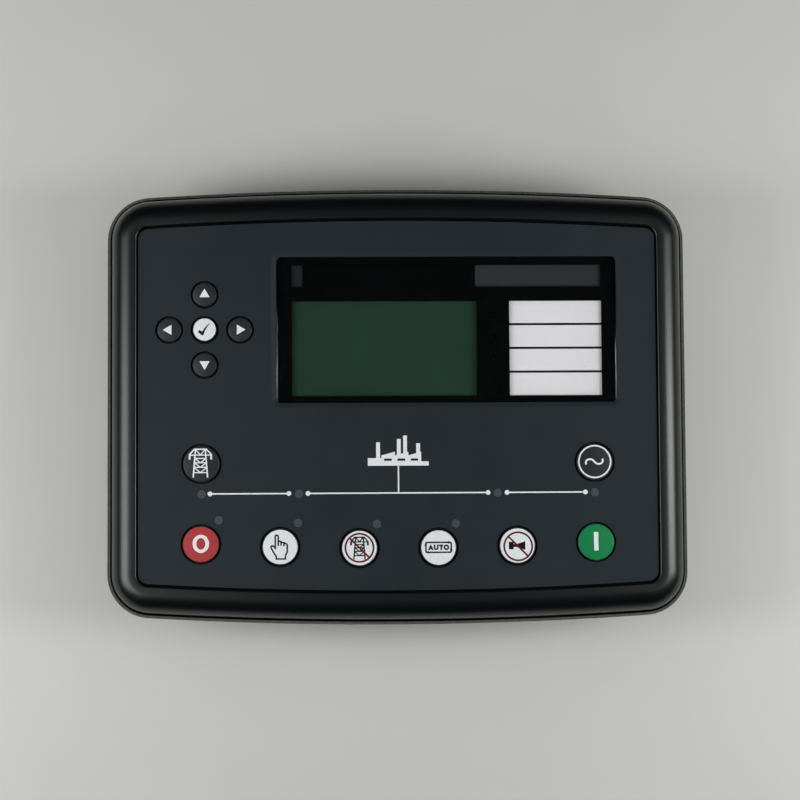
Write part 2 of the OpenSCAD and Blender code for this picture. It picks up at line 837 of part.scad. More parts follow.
// Hexagonal spacers with a stud that passes the display board into the bezel's post
module board_spacers() {
    spacer_r = stud_r + spacer_wall;
    stud_l = board_t + front_space / 2;
    color("goldenrod") upright() {
        for (p = SPACERS) {
            translate(p) {
                difference() {
                    raised(io_front + seat, board_back - seat) circle(spacer_r, $fn = 6);
                    raised(io_front - past, io_front + board_space / 2) circle(stud_r + seat);
                }
                raised(board_back - 2 * seat, board_back + stud_l) circle(stud_r);
            }
        }
    }
}

// A pan-head screw along z, its head at the back
module screw(seat_z, r, length) {
    slot_w = 0.7;
    difference() {
        union() {
            raised(seat_z - screw_head_h, seat_z) circle(screw_head_r);
            raised(seat_z - seat, seat_z + length) circle(r);
        }
        translate([0, 0, seat_z - screw_head_h]) {
            for (turn = [0, 90]) {
                rotate([0, 0, turn]) cube([screw_head_r, slot_w, screw_head_h], center = true);
            }
        }
    }
}

module board_screws() {
    color("silver") upright() {
        for (p = SPACERS) {
            translate(p) screw(io_back - seat, stud_r, board_t + board_space / 3);
        }
    }
}

module relays() {
    relay_l = 29;
    relay_w = 12.7;
    relay_h = 10.6;
    relay_pitch = 16;
    first_y = 12;
    color("#23252b") upright() {
        for (i = [0 : 2]) {
            translate([-relay_l / 2, first_y + i * relay_pitch - relay_w / 2, io_front + seat])
                cube([relay_l, relay_w, relay_h]);
        }
    }
}

module capacitors() {
    capacitor_r = 5;
    capacitor_l = 11;
    capacitor_pitch = 12;
    side_gap = 8;
    capacitor_count = 3;
    first_x = board_w / 2 - side_gap - capacitor_r - (capacitor_count - 1) * capacitor_pitch;
    row_below = -30;
    color("#202a44") upright() {
        for (i = [0 : capacitor_count - 1]) {
            translate([first_x + i * capacitor_pitch, row_below, io_front + seat])
                cylinder(r = capacitor_r, h = capacitor_l);
        }
    }
}

// Places in the case's back where headers and ports look out
module back_openings() {
    translate([0, header_y])
        square([row_l(UPPER_HEADERS) + 2 * opening_gap, header_w + 2 * opening_gap], center = true);
    translate([0, -header_y])
        square([row_l(LOWER_HEADERS) + 2 * opening_gap, header_w + 2 * opening_gap], center = true);
    translate([usb_x, port_y]) square([usb_w + 2 * opening_gap, usb_h + 2 * opening_gap], center = true);
    translate([serial_x, port_y]) {
        square([serial_w + 2 * opening_gap, serial_h + 2 * opening_gap], center = true);
    }
}

// Level inside the tubes of the case on which the case screws' heads sit
tube_ledge_z = case_back + case_depth / 2;

module rear_case() {
    head_play = 0.4;
    plate_w = 70;
    plate_h = 24;
    plate_y = -28;
    plate_recess = 0.5;
    plate_corner_r = 2;
    color("#202122") upright() difference() {
        union() {
            difference() {
                mirror([0, 0, 1])
                    soft_edged_plate(case_w, case_h, case_corner_r, -case_front, -case_back, case_edge_r);
                raised(back_floor, case_front + past) round_rect(cavity_w, cavity_h, inner_corner_r);
            }
            for (p = CASE_SCREWS) {
                translate(p) raised(case_back, case_front) circle(tube_r);
            }
        }
        raised(case_back - past, back_floor + past) back_openings();
        // Shallow recess for a rating plate
        translate([0, plate_y]) raised(case_back - past, case_back + plate_recess) {
            round_rect(plate_w, plate_h, plate_corner_r);
        }
        for (p = CASE_SCREWS) {
            translate(p) {
                raised(case_back - past, tube_ledge_z) circle(screw_head_r + head_play);
                raised(case_back - past, case_front + past) circle(case_screw_r + seat);
            }
        }
        for (side = [-1, 1], x = [-clip_x, clip_x], i = [-1, 0, 1]) {
            translate([x + i * clip_slot_pitch, side * (case_h - case_wall) / 2, -clip_slot_depth])
                cube([clip_slot_w, case_wall + past, clip_slot_h], center = true);
        }
    }
}

module case_screws() {
    length = bezel_back - tube_ledge_z + front_space / 2;
    color("silver") upright() {
        for (p = CASE_SCREWS) {
            translate(p) screw(tube_ledge_z - seat, case_screw_r, length);
        }
    }
}

// A terminal header: a trough that opens at the back of the case, with latch slots in its inner wall
module header(h) {
    l = header_l(h);
    color("#3c7a4a") upright() translate([h[3], h[4] * header_y, 0]) difference() {
        raised(rim_z, io_back - seat) square([l, header_w], center = true);
        raised(rim_z - past, io_back - header_floor) {
            square([l - 2 * header_wall, header_w - 2 * header_wall], center = true);
        }
        for (i = [0 : h[1] - 1]) {
            translate([(i - (h[1] - 1) / 2) * h[2], h[4] * (header_wall - header_w) / 2])
                raised(rim_z - past, rim_z + latch_slot_l) {
                    square([latch_slot_w, header_wall + past], center = true);
                }
        }
    }
}

// The pins in all the headers
module terminal_pins() {
    pin_y = header_w / 2 - header_wall - pin_offset;
    color("gold") upright() {
        for (h = HEADERS, i = [0 : h[1] - 1]) {
            translate([h[3] + (i - (h[1] - 1) / 2) * h[2], h[4] * (header_y + pin_y)])
                raised(rim_z + pin_recess, io_back - header_floor - seat) square(pin_w, center = true);
        }
    }
}

// A square USB port with its tongue
module usb_port() {
    mouth_w = 8.5;
    mouth_h = 7.8;
    tongue_w = 5.6;
    tongue_h = 3.2;
    mouth_floor = io_back - header_floor;
    color("silver") upright() translate([usb_x, port_y, 0]) {
        difference() {
            raised(rim_z, io_back - seat) square([usb_w, usb_h], center = true);
            raised(rim_z - past, mouth_floor) square([mouth_w, mouth_h], center = true);
        }
        raised(rim_z + contact_recess, mouth_floor + seat) square([tongue_w, tongue_h], center = true);
    }
}

// Outline of the serial port's shell: a trapezium with round corners
module shell_outline(grow) {
    shell_w = 16.9;
    shell_h = 8.3;
    shell_r = 2;
    slope = 1.4;
    $fn = 32;
    hull() {
        for (side = [-1, 1]) {
            translate([side * (shell_w / 2 - shell_r), shell_h / 2 - shell_r]) circle(shell_r + grow);
            translate([side * (shell_w / 2 - shell_r - slope), shell_r - shell_h / 2]) circle(shell_r + grow);
        }
    }
}

// A nine-way serial port with its pins and two jack sockets
module serial_port() {
    flange_t = 6;
    flange_z = io_back - flange_t;
    shell_wall = 0.5;
    contact_r = 0.5;
    contact_pitch = 2.77;
    jack_r = 2.4;
    color("silver") upright() translate([serial_x, port_y, 0]) difference() {
        union() {
            raised(flange_z, io_back - seat) square([serial_w, serial_h], center = true);
            raised(rim_z, flange_z + seat) {
                difference() {
                    shell_outline(0);
                    shell_outline(-shell_wall);
                }
            }
            for (line = [0, 1], i = [0 : 4 - line]) {
                translate([(i - 2 + line / 2) * contact_pitch, (0.5 - line) * contact_pitch])
                    raised(rim_z + contact_recess, flange_z + seat) circle(contact_r);
            }
            for (side = [-1, 1]) {
                translate([side * jack_spacing / 2, 0])
                    raised(rim_z + pin_recess, flange_z + seat) circle(jack_r, $fn = 6);
            }
        }
        for (side = [-1, 1]) {
            translate([side * jack_spacing / 2, 0]) raised(rim_z, flange_z) circle(jack_bore_r);
        }
    }
}

front_bezel();
fascia_overlay();
panel_gasket();
display_window();
display_shroud();
strip_card();
label_card();
lcd_glass();
lcd_frame();
lcd_backlight();
switch_bodies();
display_board();
fault_lamps();
indicator_lamps();
light_guides();
io_board();
board_links();
board_spacers();
board_screws();
relays();
capacitors();
rear_case();
case_screws();
terminal_pins();
usb_port();
serial_port();
for (k = KEYS) {
    key(k);
    plunger(k);
}
for (h = HEADERS) {
    header(h);
}
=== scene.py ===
"""Dresses the panel-mounted controller of a generating set and lays it on a pale table.

Sizes are in millimetres and in the face's own axes: x to the right, y up and z out of the panel.
The model's frame is in metres, and its face looks along -Y, so a point (x, y, z) of the face lies at
(x, -z, y) in the model.
"""

import json
import logging
import math
from collections.abc import Callable, Iterable
from dataclasses import dataclass, field
from enum import Enum

import bpy
from mathutils import Matrix, Vector
from mathutils.geometry import delaunay_2d_cdt

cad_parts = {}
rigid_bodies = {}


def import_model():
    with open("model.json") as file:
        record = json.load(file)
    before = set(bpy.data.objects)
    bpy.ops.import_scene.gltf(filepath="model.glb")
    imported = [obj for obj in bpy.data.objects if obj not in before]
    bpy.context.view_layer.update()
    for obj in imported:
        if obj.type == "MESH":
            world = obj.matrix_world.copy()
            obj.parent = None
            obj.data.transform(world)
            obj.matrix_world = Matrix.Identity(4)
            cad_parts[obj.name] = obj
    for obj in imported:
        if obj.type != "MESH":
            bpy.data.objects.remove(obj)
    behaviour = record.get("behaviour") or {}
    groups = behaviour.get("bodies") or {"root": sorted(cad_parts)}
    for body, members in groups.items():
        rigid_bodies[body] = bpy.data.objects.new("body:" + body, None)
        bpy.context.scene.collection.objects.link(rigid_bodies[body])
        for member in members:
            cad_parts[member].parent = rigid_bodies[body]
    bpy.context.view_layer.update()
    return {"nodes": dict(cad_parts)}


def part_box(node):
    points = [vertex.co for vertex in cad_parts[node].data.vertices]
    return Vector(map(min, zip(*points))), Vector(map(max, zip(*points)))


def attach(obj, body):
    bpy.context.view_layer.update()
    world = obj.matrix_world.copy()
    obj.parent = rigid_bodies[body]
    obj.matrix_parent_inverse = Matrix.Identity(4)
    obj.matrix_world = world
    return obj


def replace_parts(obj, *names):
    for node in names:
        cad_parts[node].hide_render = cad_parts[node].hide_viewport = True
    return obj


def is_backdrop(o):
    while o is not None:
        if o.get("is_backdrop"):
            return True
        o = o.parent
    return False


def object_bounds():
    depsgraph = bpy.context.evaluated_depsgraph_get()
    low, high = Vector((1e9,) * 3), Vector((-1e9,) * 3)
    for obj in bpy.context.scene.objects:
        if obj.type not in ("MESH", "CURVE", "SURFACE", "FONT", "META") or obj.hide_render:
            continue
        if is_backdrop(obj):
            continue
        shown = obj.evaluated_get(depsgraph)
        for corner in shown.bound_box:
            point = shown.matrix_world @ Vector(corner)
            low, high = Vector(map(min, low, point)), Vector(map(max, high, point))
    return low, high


LOG = logging.getLogger("controller")
MM = 0.001
HOUSING = "housing"

# Printed ink: its thickness, how far each layer lies over the one below, and its longest edge on flat faces.
INK_T = 0.02
INK_LIFT = 0.012
PRINT_SPACING = 20.0

# The values that most of a noise lies between.
NOISE_SPAN = (0.3, 0.7)

Point = tuple[float, float]
Place = tuple[float, float, float]
Colour = tuple[float, float, float, float]
Loop = list[Point]
Height = Callable[[float, float], float]


def at(x: float, y: float, z: float) -> Vector:
    """Turns a point of the face, in millimetres, into the model's frame."""
    return Vector((x, -z, y)) * MM


def linear(colour: str) -> Colour:
    """Turns a colour as it is seen into the shader's own values.

    Args:
        colour: Six hexadecimal digits after a hash, as on a colour card.

    Returns:
        Red, green, blue and alpha in linear light.
    """
    parts = [int(colour[i : i + 2], 16) / 255 for i in (1, 3, 5)]
    curved = [p / 12.92 if p <= 0.04045 else ((p + 0.055) / 1.055) ** 2.4 for p in parts]
    return (curved[0], curved[1], curved[2], 1.0)


def scaled(colour: Colour, share: float) -> Colour:
    """Makes a linear colour lighter or darker by a share."""
    return (colour[0] * share, colour[1] * share, colour[2] * share, 1.0)


class Wiring:
    """The node tree of one material while it is wired."""

    def __init__(self, name: str) -> None:
        """Starts an empty tree.

        Args:
            name: Name of the material.
        """
        self.material = bpy.data.materials.new(name)
        self.material.use_nodes = True
        self.tree = self.material.node_tree
        self.tree.nodes.clear()
        self.output = self.tree.nodes.new("ShaderNodeOutputMaterial")

    def node(self, kind: str, values: dict[str, object] | None = None, **settings: object) -> bpy.types.Node:
        """Adds a node.

        Args:
            kind: Blender's name of the node type, without its prefix.
            values: Input sockets that get a constant.
            settings: Properties of the node itself.

        Returns:
            The new node.
        """
        made = self.tree.nodes.new("ShaderNode" + kind)
        for key, value in settings.items():
            setattr(made, key, value)
        for key, value in (values or {}).items():
            made.inputs[key].default_value = value
        return made

    def link(self, source: bpy.types.NodeSocket, target: bpy.types.NodeSocket) -> None:
        """Joins two sockets."""
        self.tree.links.new(source, target)

    def place(self) -> bpy.types.NodeSocket:
        """Gives the object's own coordinates, which are metres in the model's frame."""
        return self.node("TexCoord").outputs["Object"]

    def noise(self, size: float, octaves: int, stretch: Point = (1.0, 1.0)) -> bpy.types.NodeSocket:
        """Adds a noise of a given grain.

        Args:
            size: Size of the grain in millimetres.
            octaves: Number of finer octaves.
            stretch: How much longer the grain is along X and along Z.

        Returns:
            The noise's factor socket.
        """
        noise = self.node("TexNoise", {"Scale": 1 / (size * MM), "Detail": octaves, "Roughness": 0.55})
        along_x, along_z = stretch
        mapping = self.node("Mapping", {"Scale": (1 / along_x, 1.0, 1 / along_z)})
        self.link(self.place(), mapping.inputs["Vector"])
        self.link(mapping.outputs["Vector"], noise.inputs["Vector"])
        return noise.outputs["Fac"]

    def ramp(
        self, factor: bpy.types.NodeSocket, colour: str, shares: Point, span: Point = NOISE_SPAN
    ) -> bpy.types.NodeSocket:
        """Lets a colour run from a darker to a lighter share of itself.

        Args:
            factor: What drives the ramp.
            colour: The colour as it is seen.
            shares: How light it is at the start and at the end, where 1 is the colour itself.
            span: Factors at the start and at the end.

        Returns:
            The colour socket.
        """
        ramp = self.node("ValToRGB")
        for element, share, position in zip(ramp.color_ramp.elements, shares, span):
            element.position = position
            element.color = scaled(linear(colour), share)
        self.link(factor, ramp.inputs["Fac"])
        return ramp.outputs["Color"]

    def vary(self, factor: bpy.types.NodeSocket, value: float, swing: float) -> bpy.types.NodeSocket:
        """Lets a value vary with a noise.

        Args:
            factor: The noise.
            value: The value in the middle.
            swing: How far it goes either way, as a share of the value.

        Returns:
            The varied value's socket.
        """
        low, high = NOISE_SPAN
        least, most = value * (1 - swing), value * (1 + swing)
        mapped = self.node("MapRange", {"From Min": low, "From Max": high, "To Min": least, "To Max": most})
        self.link(factor, mapped.inputs["Value"])
        return mapped.outputs["Result"]

    def bump(self, factor: bpy.types.NodeSocket, depth: float, strength: float) -> bpy.types.NodeSocket:
        """Raises a surface by a noise.

        Args:
            factor: The noise.
            depth: Height of the relief in millimetres.
            strength: Share of the relief that shows.

        Returns:
            The normal socket.
        """
        bump = self.node("Bump", {"Strength": strength, "Distance": depth * MM})
        self.link(factor, bump.inputs["Height"])
        return bump.outputs["Normal"]

    def principled(
        self, constants: dict[str, object], links: dict[str, bpy.types.NodeSocket]
    ) -> bpy.types.NodeSocket:
        """Adds the main shader.

        Args:
            constants: Inputs that are the same all over the surface.
            links: Inputs that follow another node.

        Returns:
            The shader's socket.
        """
        shader = self.node("BsdfPrincipled", constants)
        for name, source in links.items():
            self.link(source, shader.inputs[name])
        return shader.outputs["BSDF"]

    def mixed(
        self, factor: bpy.types.NodeSocket, first: bpy.types.NodeSocket, second: bpy.types.NodeSocket
    ) -> bpy.types.NodeSocket:
        """Mixes two shaders.

        Args:
            factor: Share of the second shader.
            first: The first shader.
            second: The second shader.

        Returns:
            The mixed shader's socket.
        """
        mix = self.node("MixShader")
        self.link(factor, mix.inputs["Fac"])
        self.link(first, mix.inputs[1])
        self.link(second, mix.inputs[2])
        return mix.outputs["Shader"]

    def surface(self, shader: bpy.types.NodeSocket) -> None:
        """Ends the tree in a surface shader."""
        self.link(shader, self.output.inputs["Surface"])


@dataclass(frozen=True)
class Finish:
    """What every finish has: a name, the colour it is seen in and how rough it is."""

    name: str
    colour: str
    roughness: float

    def material(self) -> bpy.types.Material:
        """Gives the finish's material, and makes it the first time it is asked for.

        Returns:
            The Blender material.
        """
        made = bpy.data.materials.get(self.name)
        if made is None:
            wiring = Wiring(self.name)
            wiring.surface(self.shade(wiring))
            made = wiring.material
            made.diffuse_color = linear(self.colour)
        return made

    def shade(self, wiring: Wiring) -> bpy.types.NodeSocket:
        """Wires the finish.

        Args:
            wiring: The tree to add nodes to.

        Returns:
            The finished shader's socket.
        """
        raise NotImplementedError


@dataclass(frozen=True)
class Moulding(Finish):
    """Moulded plastic: slightly uneven colour and a fine spark-eroded grain."""

    grain: float = 0.25
    relief: float = 0.02
    unevenness: float = 0.12
    patch: float = 14.0
    gloss: float = 0.5

    def shade(self, wiring: Wiring) -> bpy.types.NodeSocket:
        """Wires colour patches, a fine relief and a roughness that follows it.

        Args:
            wiring: The tree to add nodes to.

        Returns:
            The finished shader's socket.
        """
        patches = wiring.noise(self.patch, octaves=5)
        grain = wiring.noise(self.grain, octaves=3)
        shares = (1 - self.unevenness, 1 + self.unevenness)
        links = {
            "Base Color": wiring.ramp(patches, self.colour, shares),
            "Roughness": wiring.vary(grain, self.roughness, swing=0.1),
            "Normal": wiring.bump(grain, self.relief, strength=0.5),
        }
        return wiring.principled({"Specular IOR Level": self.gloss}, links)


@dataclass(frozen=True)
class CellularRubber(Finish):
    """Cut sheet of closed-cell rubber: matt, with pores and dusty patches."""

    pore: float = 0.35
    pore_depth: float = 0.12
    dust: float = 1.2
    dust_shares: Point = (0.75, 1.2)
    gloss: float = 0.2

    def shade(self, wiring: Wiring) -> bpy.types.NodeSocket:
        """Wires dust patches and the pores of a cut edge.

        Args:
            wiring: The tree to add nodes to.

        Returns:
            The finished shader's socket.
        """
        dust = wiring.noise(self.dust, octaves=8)
        pores = wiring.node("TexVoronoi", {"Scale": 1 / (self.pore * MM)})
        wiring.link(wiring.place(), pores.inputs["Vector"])
        links = {
            "Base Color": wiring.ramp(dust, self.colour, self.dust_shares),
            "Normal": wiring.bump(pores.outputs["Distance"], self.pore_depth, strength=0.7),
        }
        return wiring.principled({"Specular IOR Level": self.gloss, "Roughness": self.roughness}, links)


@dataclass(frozen=True)
class ClearLens(Finish):
    """Polished clear plastic that lets light through to what lies behind it."""

    tint: str = "#ffffff"
    index: float = 1.49
    mark: float = 2.0
    mark_stretch: Point = (8.0, 1.0)

    def shade(self, wiring: Wiring) -> bpy.types.NodeSocket:
        """Wires a clear shader that casts no shadow, with faint wiping marks in its gloss.

        Args:
            wiring: The tree to add nodes to.

        Returns:
            The finished shader's socket.
        """
        marks = wiring.noise(self.mark, octaves=6, stretch=self.mark_stretch)
        lens = wiring.principled(
            {"Base Color": linear(self.tint), "Transmission Weight": 1.0, "IOR": self.index},
            {"Roughness": wiring.vary(marks, self.roughness, swing=0.5)},
        )
        clear = wiring.node("BsdfTransparent", {"Color": linear(self.tint)})
        path = wiring.node("LightPath")
        unseen = wiring.node("Math", operation="MAXIMUM")
        wiring.link(path.outputs["Is Shadow Ray"], unseen.inputs[0])
        wiring.link(path.outputs["Is Diffuse Ray"], unseen.inputs[1])
        return wiring.mixed(unseen.outputs["Value"], lens, clear.outputs["BSDF"])


@dataclass(frozen=True)
class LiquidCrystal(Finish):
    """Unlit dot-matrix glass: a dark field of cells with slightly lighter lines between them."""

    cell: float = 0.56
    line: float = 0.05
    line_share: float = 1.25
    cloud: float = 18.0
    cloud_shares: Point = (0.9, 1.1)
    gloss: float = 0.06

    def shade(self, wiring: Wiring) -> bpy.types.NodeSocket:
        """Wires the grid of cells over a cloudy dark field.

        Args:
            wiring: The tree to add nodes to.

        Returns:
            The finished shader's socket.
        """
        upright = wiring.node("Mapping", {"Rotation": (-math.pi / 2, 0.0, 0.0)})
        wiring.link(wiring.place(), upright.inputs["Vector"])
        grid = {
            "Scale": 1.0,
            "Brick Width": self.cell * MM,
            "Row Height": self.cell * MM,
            "Mortar Size": self.line * MM,
            "Mortar": scaled(linear(self.colour), self.line_share),
        }
        cells = wiring.node("TexBrick", grid, offset=0.0)
        wiring.link(upright.outputs["Vector"], cells.inputs["Vector"])
        cloud = wiring.ramp(wiring.noise(self.cloud, octaves=3), self.colour, self.cloud_shares)
        wiring.link(cloud, cells.inputs["Color1"])
        wiring.link(cloud, cells.inputs["Color2"])
        constants = {"Roughness": self.roughness, "Specular IOR Level": self.gloss}
        return wiring.principled(constants, {"Base Color": cells.outputs["Color"]})


@dataclass(frozen=True)
class Card(Finish):
    """Printed card: paper fibres under an even field of colour."""

    fibre: float = 0.4
    fibre_stretch: Point = (4.0, 1.0)
    shares: Point = (0.93, 1.05)
    relief: float = 0.02
    gloss: float = 0.05

    def shade(self, wiring: Wiring) -> bpy.types.NodeSocket:
        """Wires short fibres that show in colour and relief.

        Args:
            wiring: The tree to add nodes to.

        Returns:
            The finished shader's socket.
        """
        fibres = wiring.noise(self.fibre, octaves=6, stretch=self.fibre_stretch)
        constants = {"Roughness": self.roughness, "Specular IOR Level": self.gloss}
        links = {
            "Base Color": wiring.ramp(fibres, self.colour, self.shares),
            "Normal": wiring.bump(fibres, self.relief, strength=0.4),
        }
        return wiring.principled(constants, links)


@dataclass(frozen=True)
class Ink(Finish):
    """Screen-printed ink: the mesh of the screen leaves a faint mottle."""

    mottle: float = 0.5
    shares: Point = (0.92, 1.06)
    gloss: float = 0.12

    def shade(self, wiring: Wiring) -> bpy.types.NodeSocket:
        """Wires the mottle into colour and gloss.

        Args:
            wiring: The tree to add nodes to.

        Returns:
            The finished shader's socket.
        """
        mottle = wiring.noise(self.mottle, octaves=5)
        links = {
            "Base Color": wiring.ramp(mottle, self.colour, self.shares),
            "Roughness": wiring.vary(mottle, self.roughness, swing=0.15),
        }
        return wiring.principled({"Specular IOR Level": self.gloss}, links)


@dataclass(frozen=True)
class Metal(Finish):
    """Plated or turned metal with fine drawing lines."""

    line: float = 0.15
    length: float = 12.0
    relief: float = 0.01
    tarnish: float = 4.0
    tarnish_shares: Point = (0.85, 1.05)

    def shade(self, wiring: Wiring) -> bpy.types.NodeSocket:
        """Wires lines along the metal that show in gloss and relief, and tarnish in its colour.

        Args:
            wiring: The tree to add nodes to.

        Returns:
            The finished shader's socket.
        """
        lines = wiring.noise(self.line, octaves=4, stretch=(self.length, 1.0))
        tarnish = wiring.noise(self.tarnish, octaves=5)
        links = {
            "Base Color": wiring.ramp(tarnish, self.colour, self.tarnish_shares),
            "Roughness": wiring.vary(lines, self.roughness, swing=0.25),
            "Normal": wiring.bump(lines, self.relief, strength=0.4),
        }
        return wiring.principled({"Metallic": 1.0}, links)


@dataclass(frozen=True)
class Laminate(Finish):
    """Board laminate: solder resist with the copper tracks showing through as lighter runs."""

    track: float = 1.27
    tracks_per_cell: int = 6
    shares: Point = (0.8, 1.4)
    run_edge: Point = (0.42, 0.46)
    relief: float = 0.03

    def shade(self, wiring: Wiring) -> bpy.types.NodeSocket:
        """Wires a pattern of square runs under glossy resist.

        Args:
            wiring: The tree to add nodes to.

        Returns:
            The finished shader's socket.
        """
        size = self.tracks_per_cell * self.track * MM
        cells = wiring.node("TexVoronoi", {"Scale": 1 / size}, distance="CHEBYCHEV")
        wiring.link(wiring.place(), cells.inputs["Vector"])
        runs = cells.outputs["Distance"]
        links = {
            "Base Color": wiring.ramp(runs, self.colour, self.shares, self.run_edge),
            "Normal": wiring.bump(runs, self.relief, strength=0.3),
        }
        return wiring.principled({"Roughness": self.roughness}, links)


BLACK_SATIN = Moulding("satin_black_moulding", "#010b0b", 0.335, grain=0.18, relief=0.004, unevenness=0.06,
                       gloss=0.6)
# Matt black, almost no gloss: on the foot ledge it is painted shade for the gasket's shadow gap.
SHADOW_GAP_MATT = Moulding("matt_shadow_gap_black", "#050606", 0.7, grain=0.18, relief=0.01, unevenness=0.1, gloss=0.03)
SLATE_SHEET = Moulding("slate_sheet", "#232b30", 0.45, grain=0.22, relief=0.01, unevenness=0.07, patch=20.0,
                       gloss=0.15)
SLATE_KEY = Moulding("slate_key", "#272c30", 0.4, grain=0.3, relief=0.008, unevenness=0.08, patch=5.0,
                     gloss=0.25)
GASKET_RUBBER = CellularRubber("cellular_rubber", "#5a5a53", 0.9)
WINDOW_LENS = ClearLens("clear_acrylic", "#15171a", 0.04)
SHROUD_BLACK = Moulding("shroud_black", "#030505", 0.6, grain=0.3, relief=0.01, gloss=0.02)
STRIP_CARD = Card("strip_card_grey", "#323539", 0.7)
LABEL_CARD = Card("label_card_pale", "#eeedef", 0.7)
DISPLAY_GLASS = LiquidCrystal("unlit_display", "#233c2f", 0.3)
BACKLIGHT = Moulding("diffuser_white", "#dfe3dc", 0.5)
SWITCH_BLACK = Moulding("switch_black", "#232427", 0.55)
PLUNGER_TAN = Moulding("plunger_tan", "#9c8a6c", 0.5)
BOARD_GREEN = Laminate("board_green", "#1f5a38", 0.3)
FAULT_LENS = Moulding("fault_lens", "#121516", 0.25, grain=0.4, relief=0.004, gloss=0.3)
LAMP_CLEAR = Moulding("lamp_resin", "#d9d6c6", 0.2, relief=0.004, gloss=0.6)
GUIDE_SMOKE = Moulding("guide_smoke", "#454e55", 0.22, grain=0.5, relief=0.004, unevenness=0.05, patch=3.0)
SPACER_BRASS = Metal("spacer_brass", "#b8964e", 0.32)
SCREW_ZINC = Metal("screw_zinc", "#a9aaa8", 0.3)
SHEET_TIN = Metal("sheet_tin", "#b9b9b4", 0.42)
PIN_TIN = Metal("pin_tin", "#cbc5b2", 0.25)
CAPACITOR_SLEEVE = Moulding("capacitor_sleeve", "#222a45", 0.3, relief=0.004)
CASE_BLACK = Moulding("case_black", "#212325", 0.55, grain=0.4, relief=0.05, unevenness=0.08)
HEADER_GREEN = Moulding("header_green", "#2f5b3a", 0.5, grain=0.5, relief=0.02, unevenness=0.1, patch=6.0)
WHITE_INK = Ink("white_ink", "#e8ebec", 0.5)
BLACK_INK = Ink("black_ink", "#0d0f11", 0.5)
FIELD_INK = Ink("field_ink", "#030606", 0.5, gloss=0.02)
# Painted shadow: a darker print over the strip card's left end, standing in for the frame's shade there.
STRIP_END_SHADOW_INK = Ink("strip_shadow_ink", "#242629", 0.6, gloss=0.05)
KEY_WHITE_INK = Ink("key_white_ink", "#e4e9ea", 0.48)
KEY_RED_INK = Ink("key_red_ink", "#ae3d40", 0.42)
KEY_GREEN_INK = Ink("key_green_ink", "#148049", 0.42)
PROHIBITION_INK = Ink("prohibition_ink", "#660d20", 0.5)


def circle(x: float, y: float, rx: float, ry: float | None = None, steps: int = 64) -> Loop:
    """Draws an ellipse as a closed loop.

    Args:
        x: Middle, across.
        y: Middle, up.
        rx: Half width.
        ry: Half height, if it isn't round.
        steps: Number of points.

    Returns:
        The loop, anticlockwise.
    """
    tall = rx if ry is None else ry
    turns = [2 * math.pi * i / steps for i in range(steps)]
    return [(x + rx * math.cos(a), y + tall * math.sin(a)) for a in turns]


def rounded_rect(x: float, y: float, w: float, h: float, r: float, steps: int = 8) -> Loop:
    """Draws a rectangle with round corners.

    Args:
        x: Middle, across.
        y: Middle, up.
        w: Width.
        h: Height.
        r: Corner radius.
        steps: Steps in each corner.

    Returns:
        The loop, anticlockwise.
    """
    loop = []
    for quarter, (sx, sy) in enumerate(((1, 1), (-1, 1), (-1, -1), (1, -1))):
        for i in range(steps + 1):
            a = math.pi / 2 * (quarter + i / steps)
            cx = x + sx * (w / 2 - r)
            cy = y + sy * (h / 2 - r)
            loop.append((cx + r * math.cos(a), cy + r * math.sin(a)))
    return loop


def area(loop: Loop) -> float:
    """Gives a loop's area, which is negative where it runs clockwise."""
    return sum(a[0] * b[1] - b[0] * a[1] for a, b in zip(loop, loop[1:] + loop[:1])) / 2


